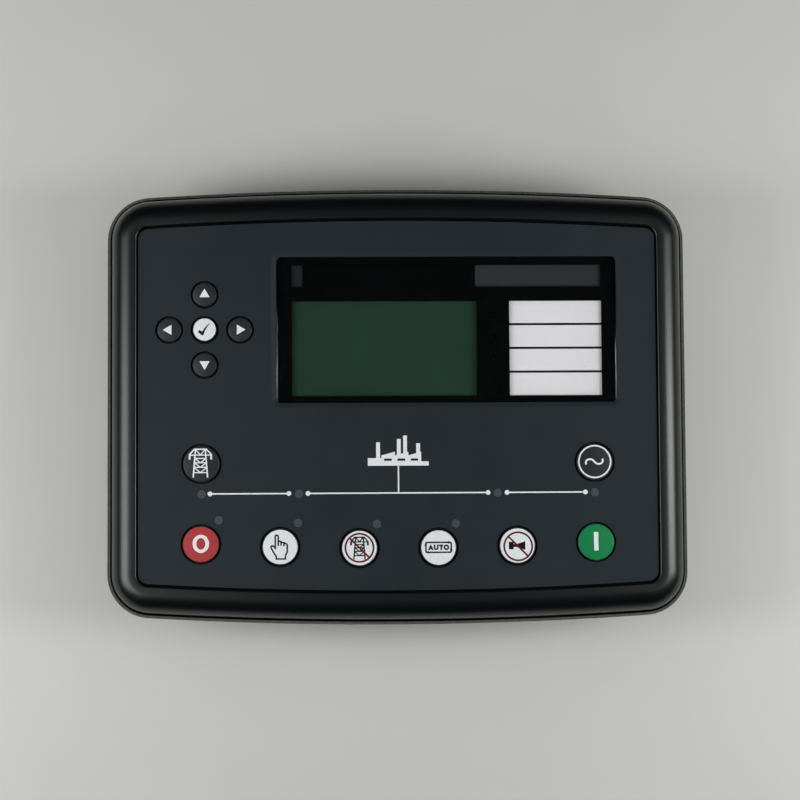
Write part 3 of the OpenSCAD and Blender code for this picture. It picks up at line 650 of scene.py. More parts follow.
class Sketch:
    """A flat drawing: loops that run anticlockwise are filled, and loops that run clockwise are holes."""

    def __init__(self) -> None:
        """Starts an empty drawing."""
        self.loops: list[Loop] = []

    def fill(self, loop: Loop) -> "Sketch":
        """Adds a filled shape."""
        self.loops.append(loop if area(loop) > 0 else loop[::-1])
        return self

    def cut(self, loop: Loop) -> "Sketch":
        """Adds a hole."""
        self.loops.append(loop if area(loop) < 0 else loop[::-1])
        return self

    def stroke(self, points: Loop, width: float) -> "Sketch":
        """Adds a line of even width with mitred corners.

        Args:
            points: The line's points.
            width: Its width.

        Returns:
            The drawing itself.
        """
        mitre_limit = 0.5
        left, right = [], []
        for i, (x, y) in enumerate(points):
            before = points[max(i - 1, 0)]
            after = points[min(i + 1, len(points) - 1)]
            into = Vector((x - before[0], y - before[1]))
            out = Vector((after[0] - x, after[1] - y))
            into = (into if into.length else out).normalized()
            out = (out if out.length else into).normalized()
            along = (into + out).normalized()
            across = Vector((-along.y, along.x))
            reach = width / 2 / max(across.dot(Vector((-into.y, into.x))), mitre_limit)
            left.append((x + across.x * reach, y + across.y * reach))
            right.append((x - across.x * reach, y - across.y * reach))
        return self.fill(left + right[::-1])

    def band(self, loop: Loop, inner: Loop) -> "Sketch":
        """Adds a closed band between two loops."""
        return self.fill(loop).cut(inner)

    def ring(self, x: float, y: float, r: float, width: float) -> "Sketch":
        """Adds a round band of a given middle radius and width."""
        return self.band(circle(x, y, r + width / 2), circle(x, y, r - width / 2))

    def moved(self, x: float, y: float, size: float = 1.0) -> "Sketch":
        """Gives a copy that is scaled and then shifted.

        Args:
            x: Shift across.
            y: Shift up.
            size: Scale.

        Returns:
            The copy.
        """
        copy = Sketch()
        copy.loops = [[(x + size * px, y + size * py) for px, py in loop] for loop in self.loops]
        return copy

    def covers(self, x: float, y: float) -> bool:
        """Says whether a point lies in the filled part, by how often the loops wind round it.

        Args:
            x: Place across.
            y: Place up.

        Returns:
            True inside.
        """
        turns = 0
        for loop in self.loops:
            for (ax, ay), (bx, by) in zip(loop, loop[1:] + loop[:1]):
                side = (bx - ax) * (y - ay) - (x - ax) * (by - ay)
                if ay <= y < by and side > 0:
                    turns += 1
                elif by <= y < ay and side < 0:
                    turns -= 1
        return turns > 0

    def triangles(self, spacing: float) -> tuple[Loop, list[list[int]]]:
        """Cuts the filled part into triangles no coarser than a spacing.

        Args:
            spacing: Longest wanted edge.

        Returns:
            The points and the triangles.
        """
        tolerance = 1e-5
        points: list[Vector] = []
        edges = []
        for loop in self.loops:
            first = len(points)
            for (ax, ay), (bx, by) in zip(loop, loop[1:] + loop[:1]):
                steps = max(1, math.ceil(math.hypot(bx - ax, by - ay) / spacing))
                for i in range(steps):
                    points.append(Vector((ax + (bx - ax) * i / steps, ay + (by - ay) * i / steps)))
            ring = list(range(first, len(points)))
            edges += list(zip(ring, ring[1:] + ring[:1]))
        low_x, high_x = min(p.x for p in points), max(p.x for p in points)
        low_y, high_y = min(p.y for p in points), max(p.y for p in points)
        for i in range(1, math.ceil((high_x - low_x) / spacing)):
            for j in range(1, math.ceil((high_y - low_y) / spacing)):
                inner = Vector((low_x + i * spacing, low_y + j * spacing))
                if self.covers(inner.x, inner.y):
                    points.append(inner)
        flat, _, faces, *_ = delaunay_2d_cdt(points, edges, [], 0, tolerance)
        kept = []
        for face in faces:
            x = sum(flat[i].x for i in face) / len(face)
            y = sum(flat[i].y for i in face) / len(face)
            if self.covers(x, y):
                kept.append(list(face))
        return [(p.x, p.y) for p in flat], kept


class Shell:
    """Points and faces of one mesh while it is built, in millimetres and the face's axes."""

    def __init__(self) -> None:
        """Starts an empty mesh."""
        self.points: list[Place] = []
        self.faces: list[list[int]] = []

    def loft(self, rows: list[list[Place]]) -> None:
        """Adds a closed ring: each row is a closed line, and the last row joins the first.

        Args:
            rows: Lines with the same number of points.
        """
        first = len(self.points)
        count = len(rows[0])
        for row in rows:
            self.points += row
        for j in range(len(rows)):
            low = first + j * count
            high = first + (j + 1) % len(rows) * count
            for i in range(count):
                k = (i + 1) % count
                self.faces.append([low + i, low + k, high + k, high + i])

    def sheet(self, sketch: Sketch, top: Height, thickness: float, spacing: float) -> None:
        """Adds a drawing as a closed sheet whose top follows a surface.

        Args:
            sketch: The drawing.
            top: Height of the top over each point.
            thickness: Thickness of the sheet.
            spacing: Longest wanted edge.
        """
        flat, triangles = sketch.triangles(spacing)
        used = sorted({i for t in triangles for i in t})
        self.layers({i: flat[i] for i in used}, triangles, top, thickness)

    def flat(self, sketch: Sketch, level: float, thickness: float, spacing: float) -> None:
        """Adds a drawing as a closed sheet whose top is flat and lies at a level."""
        self.sheet(sketch, lambda x, y: level, thickness, spacing)

    def disc(self, y: float, radii: Iterable[float], top: Height, thickness: float, turns: int = 96) -> None:
        """Adds a round closed sheet made of rings.

        Args:
            y: Height of its middle over the origin.
            radii: Radii of the rings, from the inside out.
            top: Height of the top over each point.
            thickness: Thickness of the sheet.
            turns: Points in each ring.
        """
        flat = {0: (0.0, y)}
        faces = []
        rings = [0]
        for r in radii:
            start = len(flat)
            for i in range(turns):
                a = 2 * math.pi * i / turns
                flat[start + i] = (r * math.cos(a), y + r * math.sin(a))
            for i in range(turns):
                k = (i + 1) % turns
                if len(rings) == 1:
                    faces.append([0, start + i, start + k])
                else:
                    faces.append([rings[-1] + i, start + i, start + k, rings[-1] + k])
            rings.append(start)
        self.layers(flat, faces, top, thickness)

    def layers(self, flat: dict[int, Point], faces: list[list[int]], top: Height, thickness: float) -> None:
        """Adds a top, a bottom and the walls between them.

        Args:
            flat: Points of the drawing by number.
            faces: Faces of the drawing.
            top: Height of the top over each point.
            thickness: Thickness of the sheet.
        """
        upper = {}
        lower = {}
        for i, (x, y) in flat.items():
            z = top(x, y)
            upper[i] = len(self.points)
            lower[i] = upper[i] + 1
            self.points += [(x, y, z), (x, y, z - thickness)]
        sides: dict[tuple[int, int], int] = {}
        for face in faces:
            self.faces.append([upper[i] for i in face])
            self.faces.append([lower[i] for i in reversed(face)])
            for a, b in zip(face, face[1:] + face[:1]):
                sides[(a, b)] = sides.get((a, b), 0) + 1
        for a, b in sides:
            if (b, a) not in sides:
                self.faces.append([upper[a], lower[a], lower[b], upper[b]])

    def piece(self, name: str, finish: Finish, body: str, slot: str, sharp: float = 0.6) -> bpy.types.Object:
        """Makes the object, dresses it and lets it ride on a body.

        Args:
            name: Name of the piece.
            finish: Its finish.
            body: The body that it moves with.
            slot: The record's material slot. It is not used.
            sharp: Angle in radians above which an edge stays sharp.

        Returns:
            The piece.
        """
        mesh = bpy.data.meshes.new(name)
        mesh.from_pydata([at(*p) for p in self.points], [], self.faces)
        mesh.validate()
        mesh.shade_smooth()
        mesh.set_sharp_from_angle(angle=sharp)
        made = bpy.data.objects.new(name, mesh)
        bpy.context.scene.collection.objects.link(made)
        mesh.materials.append(finish.material())
        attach(made, body)
        LOG.info("%s rides on %s, %d faces", name, body, len(mesh.polygons))
        return made


@dataclass
class Solids:
    """The carried-over solids, which keep their shape and get a finish."""

    nodes: dict[str, bpy.types.Object]

    def dress(self, finish: Finish, *names: str) -> None:
        """Gives solids a finish.

        Args:
            finish: The finish.
            names: Names of the nodes.
        """
        for name in names:
            self.nodes[name].material_slots[0].material = finish.material()
            LOG.info("%s has the finish %s", name, finish.name)

    def middle(self, name: str) -> Point:
        """Gives the middle of a solid on the face, in millimetres."""
        low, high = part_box(name)
        return ((low.x + high.x) / 2 / MM, (low.z + high.z) / 2 / MM)

    def half_width(self, name: str) -> float:
        """Gives half of a solid's width, in millimetres."""
        low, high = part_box(name)
        return (high.x - low.x) / 2 / MM

    def front(self, name: str) -> float:
        """Gives the level of a solid's front, in millimetres out of the panel."""
        return -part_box(name)[0].y / MM


class KeyFace(Enum):
    """What a key's face shows under its legend: the bare key or a printed disc."""

    BARE = "bare"
    WHITE = "white"
    RED = "red"
    GREEN = "green"


@dataclass(frozen=True)
class KeyForm:
    """The domed top of a key, round its own middle."""

    cap_r: float
    apex: float
    dome: float = 0.35
    edge_r: float = 0.6
    bridge: float = 0.2

    def height(self, x: float, y: float) -> float:
        """Gives the level of the key's top, where print bridges the small step at the start of the edge.

        Args:
            x: Place across, from the key's middle.
            y: Place up, from the key's middle.

        Returns:
            Millimetres out of the panel.
        """
        r = math.hypot(x, y)
        flat_r = self.cap_r - self.edge_r
        if r <= flat_r + self.bridge:
            ball = (self.cap_r**2 + self.dome**2) / (2 * self.dome)
            return self.apex - ball + math.sqrt(ball**2 - r**2)
        over = min(r - flat_r, self.edge_r)
        return self.apex - self.dome - self.edge_r + math.sqrt(self.edge_r**2 - over**2)


class Legends:
    """The generic marks on the keys, each drawn round the key's middle."""

    @staticmethod
    def arrow(turn: float, shift: float) -> Sketch:
        """Draws a triangle.

        Args:
            turn: Direction in degrees, where 0 is up.
            shift: How far it is moved that way.

        Returns:
            The drawing.
        """
        apex, base, half = 2.5, -1.1, 2.1
        a = math.radians(turn)
        corners = [(0.0, apex + shift), (-half, base + shift), (half, base + shift)]
        cos, sin = math.cos(a), math.sin(a)
        return Sketch().fill([(x * cos - y * sin, x * sin + y * cos) for x, y in corners])

    @staticmethod
    def tick() -> Sketch:
        """Draws a tick with a heavy short stroke and a long one that thins out.

        Returns:
            The drawing.
        """
        return Sketch().fill([
            (-2.75, -1.0), (-2.05, -0.05), (-0.95, -0.85), (-0.25, 0.35), (0.9, 1.75), (2.4, 2.9),
            (1.15, 1.25), (0.2, -0.35), (-0.5, -2.25), (-0.9, -2.4),
        ])

    @staticmethod
    def pylon(weight: float) -> Sketch:
        """Draws a lattice tower with two arms.

        Args:
            weight: How heavy the lines are.

        Returns:
            The drawing.
        """
        heavy, light = 0.6 * weight, 0.46 * weight
        drop_pen = 1.3 * heavy
        top, foot = 5.9, -5.7
        top_half, foot_half = 2.0, 2.95
        tip_x, tip_y, drop_y = 4.4, 3.5, 1.7
        beam_half, arm_x = 2.6, 2.5
        arm_lap, drop_lap = 0.3, 0.35
        floors = (2.15, 0.35, -1.5, -3.7)

        def leg(y: float) -> float:
            """Gives half of the tower's width at a height."""
            return top_half + (foot_half - top_half) * (top - y) / (top - foot)

        drawing = Sketch().stroke([(-beam_half, top), (beam_half, top)], heavy)
        for side in (-1, 1):
            drawing.stroke([(side * top_half, top), (side * foot_half, foot)], heavy)
            drawing.stroke([(side * arm_x, top), (side * tip_x, tip_y + arm_lap)], heavy)
            drawing.stroke([(side * tip_x, tip_y + drop_lap), (side * tip_x, drop_y)], drop_pen)
        drawing.stroke([(-tip_x, tip_y), (tip_x, tip_y)], light)
        for low in floors:
            drawing.stroke([(-leg(low), low), (leg(low), low)], light)
        for high, low in [(top, tip_y)] + list(zip(floors, floors[1:])):
            drawing.stroke([(-leg(high), high), (0.0, low), (leg(high), high)], light)
        return drawing

    @staticmethod
    def wave() -> Sketch:
        """Draws one wave inside a circle.

        Returns:
            The drawing.
        """
        shift_x, shift_y = -0.2, 0.15
        arch_x, arch_y, half, rise = -1.78, -0.35, 1.72, 1.33
        first, sweep, steps = -15, 150, 16
        tail = (-3.52, -1.2)
        wave_pen, ring_r, ring_pen = 0.74, 6.55, 0.62
        arch = [tail]
        for i in range(steps + 1):
            a = math.radians(first + sweep * i / steps)
            arch.append((arch_x - half * math.cos(a), arch_y + rise * math.sin(a)))
        line = arch + [(-x, -y) for x, y in arch[::-1]]
        wave = Sketch().stroke(line, wave_pen).moved(shift_x, shift_y)
        return wave.ring(0.0, shift_y, ring_r, ring_pen)

    @staticmethod
    def hand() -> Sketch:
        """Draws the outline of a hand with a raised finger.

        Returns:
            The drawing.
        """
        pen = 0.64
        tip_x, tip_y, tip_r, tip_steps = -1.42, 4.2, 0.62, 8
        turns = [math.pi * i / tip_steps for i in range(tip_steps, -1, -1)]
        tip = [(tip_x + tip_r * math.cos(a), tip_y + tip_r * math.sin(a)) for a in turns]
        finger = [(-2.04, -0.95)] + tip + [(-0.8, 0.45)]
        knuckles = [(-0.8, 2.45), (0.3, 2.2), (0.75, 1.85), (1.5, 1.75)]
        knuckles += [(1.9, 1.45), (2.5, 1.3), (2.85, 0.85)]
        palm = [(2.87, -1.9), (2.1, -3.7), (2.1, -4.9), (-1.62, -4.9), (-1.62, -3.95), (-2.2, -3.1)]
        thumb = [(-3.75, -0.35), (-3.75, 0.25), (-3.2, 0.5), (-2.7, 0.25), (-2.04, -0.35)]
        drawing = Sketch().stroke(finger, pen).stroke(knuckles + palm + thumb, pen)
        for x, high, low in ((0.34, 2.1, 0.55), (1.5, 1.7, 0.3)):
            drawing.stroke([(x, high), (x, low)], pen)
        return drawing

    @staticmethod
    def prohibition(x: float, y: float) -> Sketch:
        """Draws a circle with a slash.

        Args:
            x: Middle, across.
            y: Middle, up.

        Returns:
            The drawing.
        """
        r, pen = 5.75, 0.74
        reach = r * math.sqrt(0.5)
        return Sketch().ring(x, y, r, pen).stroke([(x - reach, y + reach), (x + reach, y - reach)], pen)

    @staticmethod
    def horn() -> Sketch:
        """Draws a horn: a block, a neck and a flare.

        Returns:
            The drawing.
        """
        block = [(-3.55, -1.55), (-1.6, -1.55), (-1.6, 1.55), (-3.55, 1.55)]
        flare = [(-1.7, -0.6), (-0.4, -0.6), (3.2, -1.8), (3.2, 1.8), (-0.4, 0.6), (-1.7, 0.6)]
        return Sketch().fill(block).fill(flare)

    @staticmethod
    def auto() -> Sketch:
        """Draws the word AUTO in a loop of arrows.

        Returns:
            The drawing.
        """
        pen, letter_pen = 0.63, 0.66
        x, y, w, h, r = 0.0, 0.1, 10.4, 4.05, 0.7
        outer = rounded_rect(x, y, w + pen, h + pen, r)
        drawing = Sketch().band(outer, rounded_rect(x, y, w - pen, h - pen, r - pen / 2))
        head, barb, corner = 0.95, 0.68, 0.3
        for side in (-1, 1):
            tip = x + side * (w / 2 - corner)
            edge = y + side * h / 2
            drawing.fill([(tip, edge), (tip - side * head, edge + barb), (tip - side * head, edge - barb)])
            wall = x + side * w / 2
            foot = y - side * (h / 2 - corner)
            drawing.fill([(wall, foot), (wall - barb, foot + side * head), (wall + barb, foot + side * head)])
        low, high = -1.05, 1.25
        middle = (low + high) / 2
        a_x, a_half = -3.2, 0.85
        a_top = high - letter_pen * 0.7
        bar_half, bar_y, bar_pen = 0.5, low + 0.62, letter_pen * 0.8
        drawing.stroke([(a_x - a_half, low), (a_x, a_top), (a_x + a_half, low)], letter_pen)
        drawing.stroke([(a_x - bar_half, bar_y), (a_x + bar_half, bar_y)], bar_pen)
        u_x, u_half, bowl_steps = -0.98, 0.66, 8
        bowl_y = low + u_half + letter_pen / 2
        turns = [math.pi * (1 + i / bowl_steps) for i in range(bowl_steps + 1)]
        bowl = [(u_x + u_half * math.cos(a), bowl_y + u_half * math.sin(a)) for a in turns]
        drawing.stroke([(u_x - u_half, high)] + bowl + [(u_x + u_half, high)], letter_pen)
        t_x, t_half = 1.1, 0.85
        t_y = high - letter_pen / 2
        drawing.stroke([(t_x - t_half, t_y), (t_x + t_half, t_y)], letter_pen)
        drawing.stroke([(t_x, t_y), (t_x, low)], letter_pen)
        o_x, o_rx, o_ry, o_steps = 3.2, 1.12, high - middle, 32
        return drawing.band(
            circle(o_x, middle, o_rx, o_ry, o_steps),
            circle(o_x, middle, o_rx - letter_pen, o_ry - letter_pen, o_steps),
        )

    @staticmethod
    def letter_o() -> Sketch:
        """Draws a heavy O."""
        y, outer, inner = 0.2, (3.38, 3.72), (1.84, 2.36)
        return Sketch().band(circle(0.0, y, *outer), circle(0.0, y, *inner))

    @staticmethod
    def letter_i() -> Sketch:
        """Draws a heavy upright bar."""
        return Sketch().fill([(-0.85, -3.5), (0.92, -3.5), (0.82, 4.1), (-0.95, 4.1)])


@dataclass(frozen=True)
class Mark:
    """One printed layer on a key."""

    drawing: Sketch
    ink: Finish
    slot: str


@dataclass(frozen=True)
class KeyPrint:
    """What is printed on one key: the disc under the legend, how high it lies and the marks."""

    face: KeyFace = KeyFace.BARE
    disc_r: float = 0.0
    disc_y: float = 0.0
    marks: tuple[Mark, ...] = ()


@dataclass
class Keypad:
    """The thirteen keys with their printed discs and legends."""

    solids: Solids
    flange: float = 0.8
    gap: float = 0.8
    accept_r: float = 4.6
    accept_y: float = 0.15
    stop_r: float = 7.2
    start_r: float = 7.42
    white_r: float = 7.02
    spacing: float = 0.8
    prints: dict[str, KeyPrint] = field(default_factory=dict)

    def __post_init__(self) -> None:
        """Lists what each key shows."""
        white = (WHITE_INK, "key_white")
        black = (BLACK_INK, "key_dark")
        red = (PROHIBITION_INK, "key_red")
        tower = Legends.pylon(weight=1.0).moved(x=-0.35, y=0.1)
        small_tower = Legends.pylon(weight=1.25).moved(x=0.0, y=-0.2, size=0.78)
        # Each arrow has its key, its direction in degrees and its shift.
        arrows = (("up", 0, 0.0), ("left", 90, 0.1), ("right", -90, -0.2), ("down", 180, -0.45))
        bare = [(name, Legends.arrow(turn, shift)) for name, turn, shift in arrows]
        bare += [("mains", tower), ("generator", Legends.wave())]
        for name, drawing in bare:
            self.prints[name] = KeyPrint(marks=(Mark(drawing, *white),))
        tick = (Mark(Legends.tick(), *black),)
        self.prints["accept"] = KeyPrint(KeyFace.WHITE, self.accept_r, self.accept_y, tick)
        stop = (Mark(Legends.letter_o(), *white),)
        self.prints["stop"] = KeyPrint(KeyFace.RED, self.stop_r, marks=stop)
        start = (Mark(Legends.letter_i(), *white),)
        self.prints["start"] = KeyPrint(KeyFace.GREEN, self.start_r, marks=start)
        pale = {
            "manual": (Mark(Legends.hand(), *black),),
            "mains_off": (Mark(small_tower, *black), Mark(Legends.prohibition(x=0.0, y=0.1), *red)),
            "auto": (Mark(Legends.auto(), *black),),
            "mute": (Mark(Legends.horn(), *black), Mark(Legends.prohibition(x=0.3, y=-0.3), *red)),
        }
        for name, marks in pale.items():
            self.prints[name] = KeyPrint(KeyFace.WHITE, self.white_r, marks=marks)

    def hole_r(self, name: str) -> float:
        """Gives the radius of the hole that a key stands in."""
        return self.solids.half_width("key_" + name) - self.flange

    def form(self, name: str) -> KeyForm:
        """Gives the form of a key's top."""
        return KeyForm(self.hole_r(name) - self.gap, self.solids.front("key_" + name))

    @staticmethod
    def rings(r: float) -> list[float]:
        """Gives the radii of a disc's rings, which lie closer where the key's edge falls away.

        Args:
            r: Radius of the disc.

        Returns:
            The radii, from the inside out.
        """
        inner_rings, steps = 12, 14
        edge_shares = (0.9, 0.94, 0.965, 0.985, 1.0)
        return [r * i / steps for i in range(1, inner_rings + 1)] + [r * share for share in edge_shares]

    def build(self) -> None:
        """Dresses the keys and lays the printed layers on them."""
        inks = {
            KeyFace.WHITE: (KEY_WHITE_INK, "key_white"),
            KeyFace.RED: (KEY_RED_INK, "key_red"),
            KeyFace.GREEN: (KEY_GREEN_INK, "key_green"),
        }
        for name, printed in self.prints.items():
            self.solids.dress(SLATE_KEY, "key_" + name)
            self.solids.dress(PLUNGER_TAN, "plunger_" + name)
            layers = 0
            body = "button_" + name
            if printed.face is not KeyFace.BARE:
                layers += 1
                ink, slot = inks[printed.face]
                shell = Shell()
                shell.disc(printed.disc_y, self.rings(printed.disc_r), self.level(name, layers), INK_T)
                self.settle(shell, name).piece(f"disc_{name}", ink, body, slot)
            for number, mark in enumerate(printed.marks, 1):
                layers += 1
                shell = Shell()
                shell.sheet(mark.drawing, self.level(name, layers), INK_T, self.spacing)
                self.settle(shell, name).piece(f"legend_{name}_{number}", mark.ink, body, mark.slot)

    def level(self, name: str, layer: int) -> Height:
        """Gives the height that a printed layer follows on a key's dome.

        Args:
            name: The key.
            layer: Number of the layer, counted from the key up.

        Returns:
            The height over each point, from the key's middle.
        """
        form = self.form(name)
        return lambda x, y: form.height(x, y) + layer * INK_LIFT

    def settle(self, shell: Shell, name: str) -> Shell:
        """Moves a mesh from a key's own middle to the key's place on the face.

        Args:
            shell: The mesh.
            name: The key.

        Returns:
            The mesh itself.
        """
        x, y = self.solids.middle("key_" + name)
        shell.points = [(px + x, py + y, pz) for px, py, pz in shell.points]
        return shell


@dataclass
class Fascia:
    """The print on the overlay, and the light guides that end in it."""

    solids: Solids
    line_w: float = 0.6
    dot_r: float = 0.98
    mimic_y: float = -36.6
    source_x: float = 80.8
    inner_x: float = 40.8
    spans: tuple[Point, ...] = ((-77.3, -45.0), (-37.2, 36.8), (44.6, 76.9))
    upright_top: float = -25.2
    guide_drop: float = 0.1
    key_lamp_x: float = 7.25
    key_lamp_y: float = 9.8

    def guides(self) -> list[Point]:
        """Gives the middles of the eight light guides.

        Returns:
            Their places on the face.
        """
        y = self.mimic_y - self.guide_drop
        row = [(x, y) for x in (-self.source_x, -self.inner_x, self.inner_x, self.source_x)]
        for name in ("stop", "manual", "mains_off", "auto"):
            x, y = self.solids.middle("key_" + name)
            row.append((x + self.key_lamp_x, y + self.key_lamp_y))
        return row

    def mimic(self) -> Sketch:
        """Draws the lines between mains, load and generator, with a dot at each end.

        Returns:
            The drawing.
        """
        drawing = Sketch()
        for start, end in self.spans:
            drawing.stroke([(start, self.mimic_y), (end, self.mimic_y)], self.line_w)
            for x in (start, end):
                drawing.fill(circle(x, self.mimic_y, self.dot_r, steps=32))
        return drawing.stroke([(0.0, self.mimic_y), (0.0, self.upright_top)], self.line_w)

    def factory(self) -> Sketch:
        """Draws the load as a factory: base, saw-tooth roofs, chimneys and a row of windows.

        Returns:
            The drawing.
        """
        foot, sill, eaves, ridge = -25.4, -22.25, -21.15, -19.65
        left, right = -12.55, 12.45
        step_y = -23.65
        lean, chimney_w, chimney_lap = 0.05, 1.6, 0.1
        teeth = (-6.95, -1.4, 4.1, 9.4)
        roof = [(right, foot), (right, step_y), (teeth[3], step_y), (teeth[3], ridge)]
        for x in teeth[2:0:-1]:
            roof += [(x + lean, eaves), (x, ridge)]
        roof += [(teeth[0], eaves), (teeth[0], sill), (left, sill)]
        drawing = Sketch().fill([(left, foot)] + roof)
        for x, top in ((-8.33, -15.75), (0.22, -14.4), (2.8, -13.0), (8.15, -16.2)):
            drawing.stroke([(x, sill - chimney_lap), (x, top)], chimney_w)
        window_y, window_h = -22.92, 0.95
        low, high = window_y - window_h / 2, window_y + window_h / 2
        for start, end in ((-5.85, -2.7), (-0.4, 2.85), (5.15, 8.1)):
            drawing.cut([(start, low), (end, low), (end, high), (start, high)])
        return drawing

    def build(self) -> None:
        """Dresses the guides and prints the diagram on the overlay."""
        self.solids.dress(GUIDE_SMOKE, "light_guides")
        face = self.solids.front("fascia_overlay")
        for name, drawing in (("mimic_lines", self.mimic()), ("factory_sign", self.factory())):
            shell = Shell()
            shell.flat(drawing, face + INK_LIFT, INK_T, PRINT_SPACING)
            shell.piece(name, WHITE_INK, HOUSING, "key_white")


@dataclass
class Bezel:
    """The frame moulding with its rolled edge, the plate and the overlay in it, and the gasket behind."""

    solids: Solids
    keypad: Keypad
    fascia: Fascia
    width: float = 235.6
    height: float = 176.6
    bow_r: float = 1647.8
    corner_r: float = 16.0
    frame_w: float = 10.9
    side_share: float = 0.963
    top_share: float = 1.045
    ledge_w: float = 1.0
    ledge_h: float = 0.5
    ledge_tuck: float = 0.2
    back: float = 1.8
    roll_r: float = 8.0
    crest_edge_r: float = 0.7
    plate_front: float = 11.0
    plate_back: float = 9.0
    overlay_gap: float = 0.6
    overlay_bow_gap: float = 0.95
    bevel: float = 2.0
    bevel_land: float = 0.2
    bevel_tuck: float = 0.3
    gasket_lip: float = 2.15
    gasket_hole: Place = (221.0, 161.0, 4.0)
    window_rim: float = 1.2
    window_gap: float = 0.15
    window_corner_r: float = 2.2
    guide_hole_r: float = 1.9
    flat_spacing: float = 30.0

    def edge(self, inset: float) -> Loop:
        """Draws the outline at an inset from the moulding's edge, less at the sides, more at the top."""
        return self.outline(inset * self.side_share, inset * self.top_share, inset, self.corner_r - inset)

    def outline(self, side: float, top: float, bottom: float, r: float) -> Loop:
        """Draws a bowed outline inside the moulding's outer edge.

        Args:
            side: Distance from the edge at the sides.
            top: Distance from the edge at the top.
            bottom: Distance from the edge at the bottom.
            r: Corner radius.

        Returns:
            The loop, anticlockwise.
        """
        lower = [(-x, -y) for x, y in self.half_outline(side, bottom, r)]
        return self.half_outline(side, top, r) + lower

    def half_outline(self, side: float, top: float, r: float) -> Loop:
        """Draws the upper half of an outline: a corner, the bowed edge and the other corner.

        Args:
            side: Distance from the moulding's edge at the sides.
            top: Distance from its edge at the top.
            r: Corner radius.

        Returns:
            The points from right to left.
        """
        corner_steps, bow_steps = 24, 48
        bow = self.bow_r - top
        middle_y = self.height / 2 - self.bow_r
        corner_x = self.width / 2 - side - r
        corner_y = middle_y + math.sqrt((bow - r) ** 2 - corner_x**2)
        sweep = math.acos(corner_x / (bow - r))
        upper = []
        for i in range(corner_steps + 1):
            a = sweep * i / corner_steps
            upper.append((corner_x + r * math.cos(a), corner_y + r * math.sin(a)))
        for i in range(1, bow_steps):
            a = sweep + (math.pi - 2 * sweep) * i / bow_steps
            upper.append((bow * math.cos(a), middle_y + bow * math.sin(a)))
        for i in range(corner_steps + 1):
            a = math.pi - sweep + sweep * i / corner_steps
            upper.append((-corner_x + r * math.cos(a), corner_y + r * math.sin(a)))
        return upper

    def section(self) -> list[Point]:
        """Gives the frame's section as inset and level, from the foot over the roll to the inner edge.

        Returns:
            The points of the closed section.
        """
        crest = self.solids.front("front_bezel")
        roll_steps, edge_steps = 28, 6
        roll = []
        for i in range(roll_steps + 1):
            a = math.pi / 2 * i / roll_steps
            roll.append((self.roll_r * (1 - math.cos(a)), crest - self.roll_r * (1 - math.sin(a))))
        inner = []
        for i in range(edge_steps + 1):
            a = math.pi / 2 * i / edge_steps
            lift = self.crest_edge_r * (1 - math.cos(a))
            inner.append((self.frame_w - self.crest_edge_r * (1 - math.sin(a)), crest - lift))
        return [(0.0, self.back)] + roll + inner + [(self.frame_w, self.back)]

    def ledge(self) -> list[Point]:
        """Gives the section of the low ledge round the foot, as inset and level.

        Returns:
            The points of the closed section.
        """
        top = self.back + self.ledge_h
        tuck, rim = self.ledge_tuck, -self.ledge_w
        return [(tuck, self.back), (rim, self.back), (rim, top), (tuck, top)]

    def holes(self) -> list[Loop]:
        """Lists the round openings: the keys and the light guides.

        Returns:
            One loop per opening.
        """
        found = []
        for name in self.keypad.prints:
            found.append(circle(*self.solids.middle("key_" + name), self.keypad.hole_r(name)))
        for x, y in self.fascia.guides():
            found.append(circle(x, y, self.guide_hole_r, steps=32))
        return found

    def window(self, gap: float) -> Loop:
        """Draws the window's outline with a gap round it.

        Args:
            gap: Width of the gap.

        Returns:
            The loop, anticlockwise.
        """
        low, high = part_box("display_window")
        grow = 2 * (gap - self.window_rim)
        w, h = (high.x - low.x) / MM + grow, (high.z - low.z) / MM + grow
        return rounded_rect(*self.solids.middle("display_window"), w, h, self.window_corner_r + gap)

    @staticmethod
    def around(outline: Callable[[float], Loop], section: list[Point]) -> list[list[Place]]:
        """Leads a section round an outline.

        Args:
            outline: Draws the outline at an inset.
            section: The section's points as inset and level.

        Returns:
            One closed line for each point of the section.
        """
        return [[(x, y, z) for x, y in outline(inset)] for inset, z in section]

    def build(self) -> None:
        """Builds the moulding in place of its faceted solid, and what is seated on it."""
        shell = Shell()
        shell.loft(self.around(self.edge, self.section()))
        moulding = shell.piece("bezel_moulding", BLACK_SATIN, HOUSING, "bezel_plastic")
        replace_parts(moulding, "front_bezel")
        # The ledge is real geometry; its matt black also stands in for the shadow gap at the gasket: painted
        # shade.
        foot = Shell()
        foot.loft(self.around(self.edge, self.ledge()))
        foot.piece("bezel_foot_shadow_gap", SHADOW_GAP_MATT, HOUSING, "bezel_plastic")
        self.build_plate()
        self.build_overlay()
        self.build_gasket()

    def build_plate(self) -> None:
        """Builds the plate that closes the frame and carries the overlay."""
        drawing = Sketch().fill(self.edge(self.frame_w))
        for hole in self.holes() + [self.window(self.window_gap)]:
            drawing.cut(hole)
        shell = Shell()
        shell.flat(drawing, self.plate_front, self.plate_front - self.plate_back, self.flat_spacing)
        # The plate's matt black keeps the groove round the overlay dark.
        shell.piece("bezel_plate", SHADOW_GAP_MATT, HOUSING, "bezel_plastic")

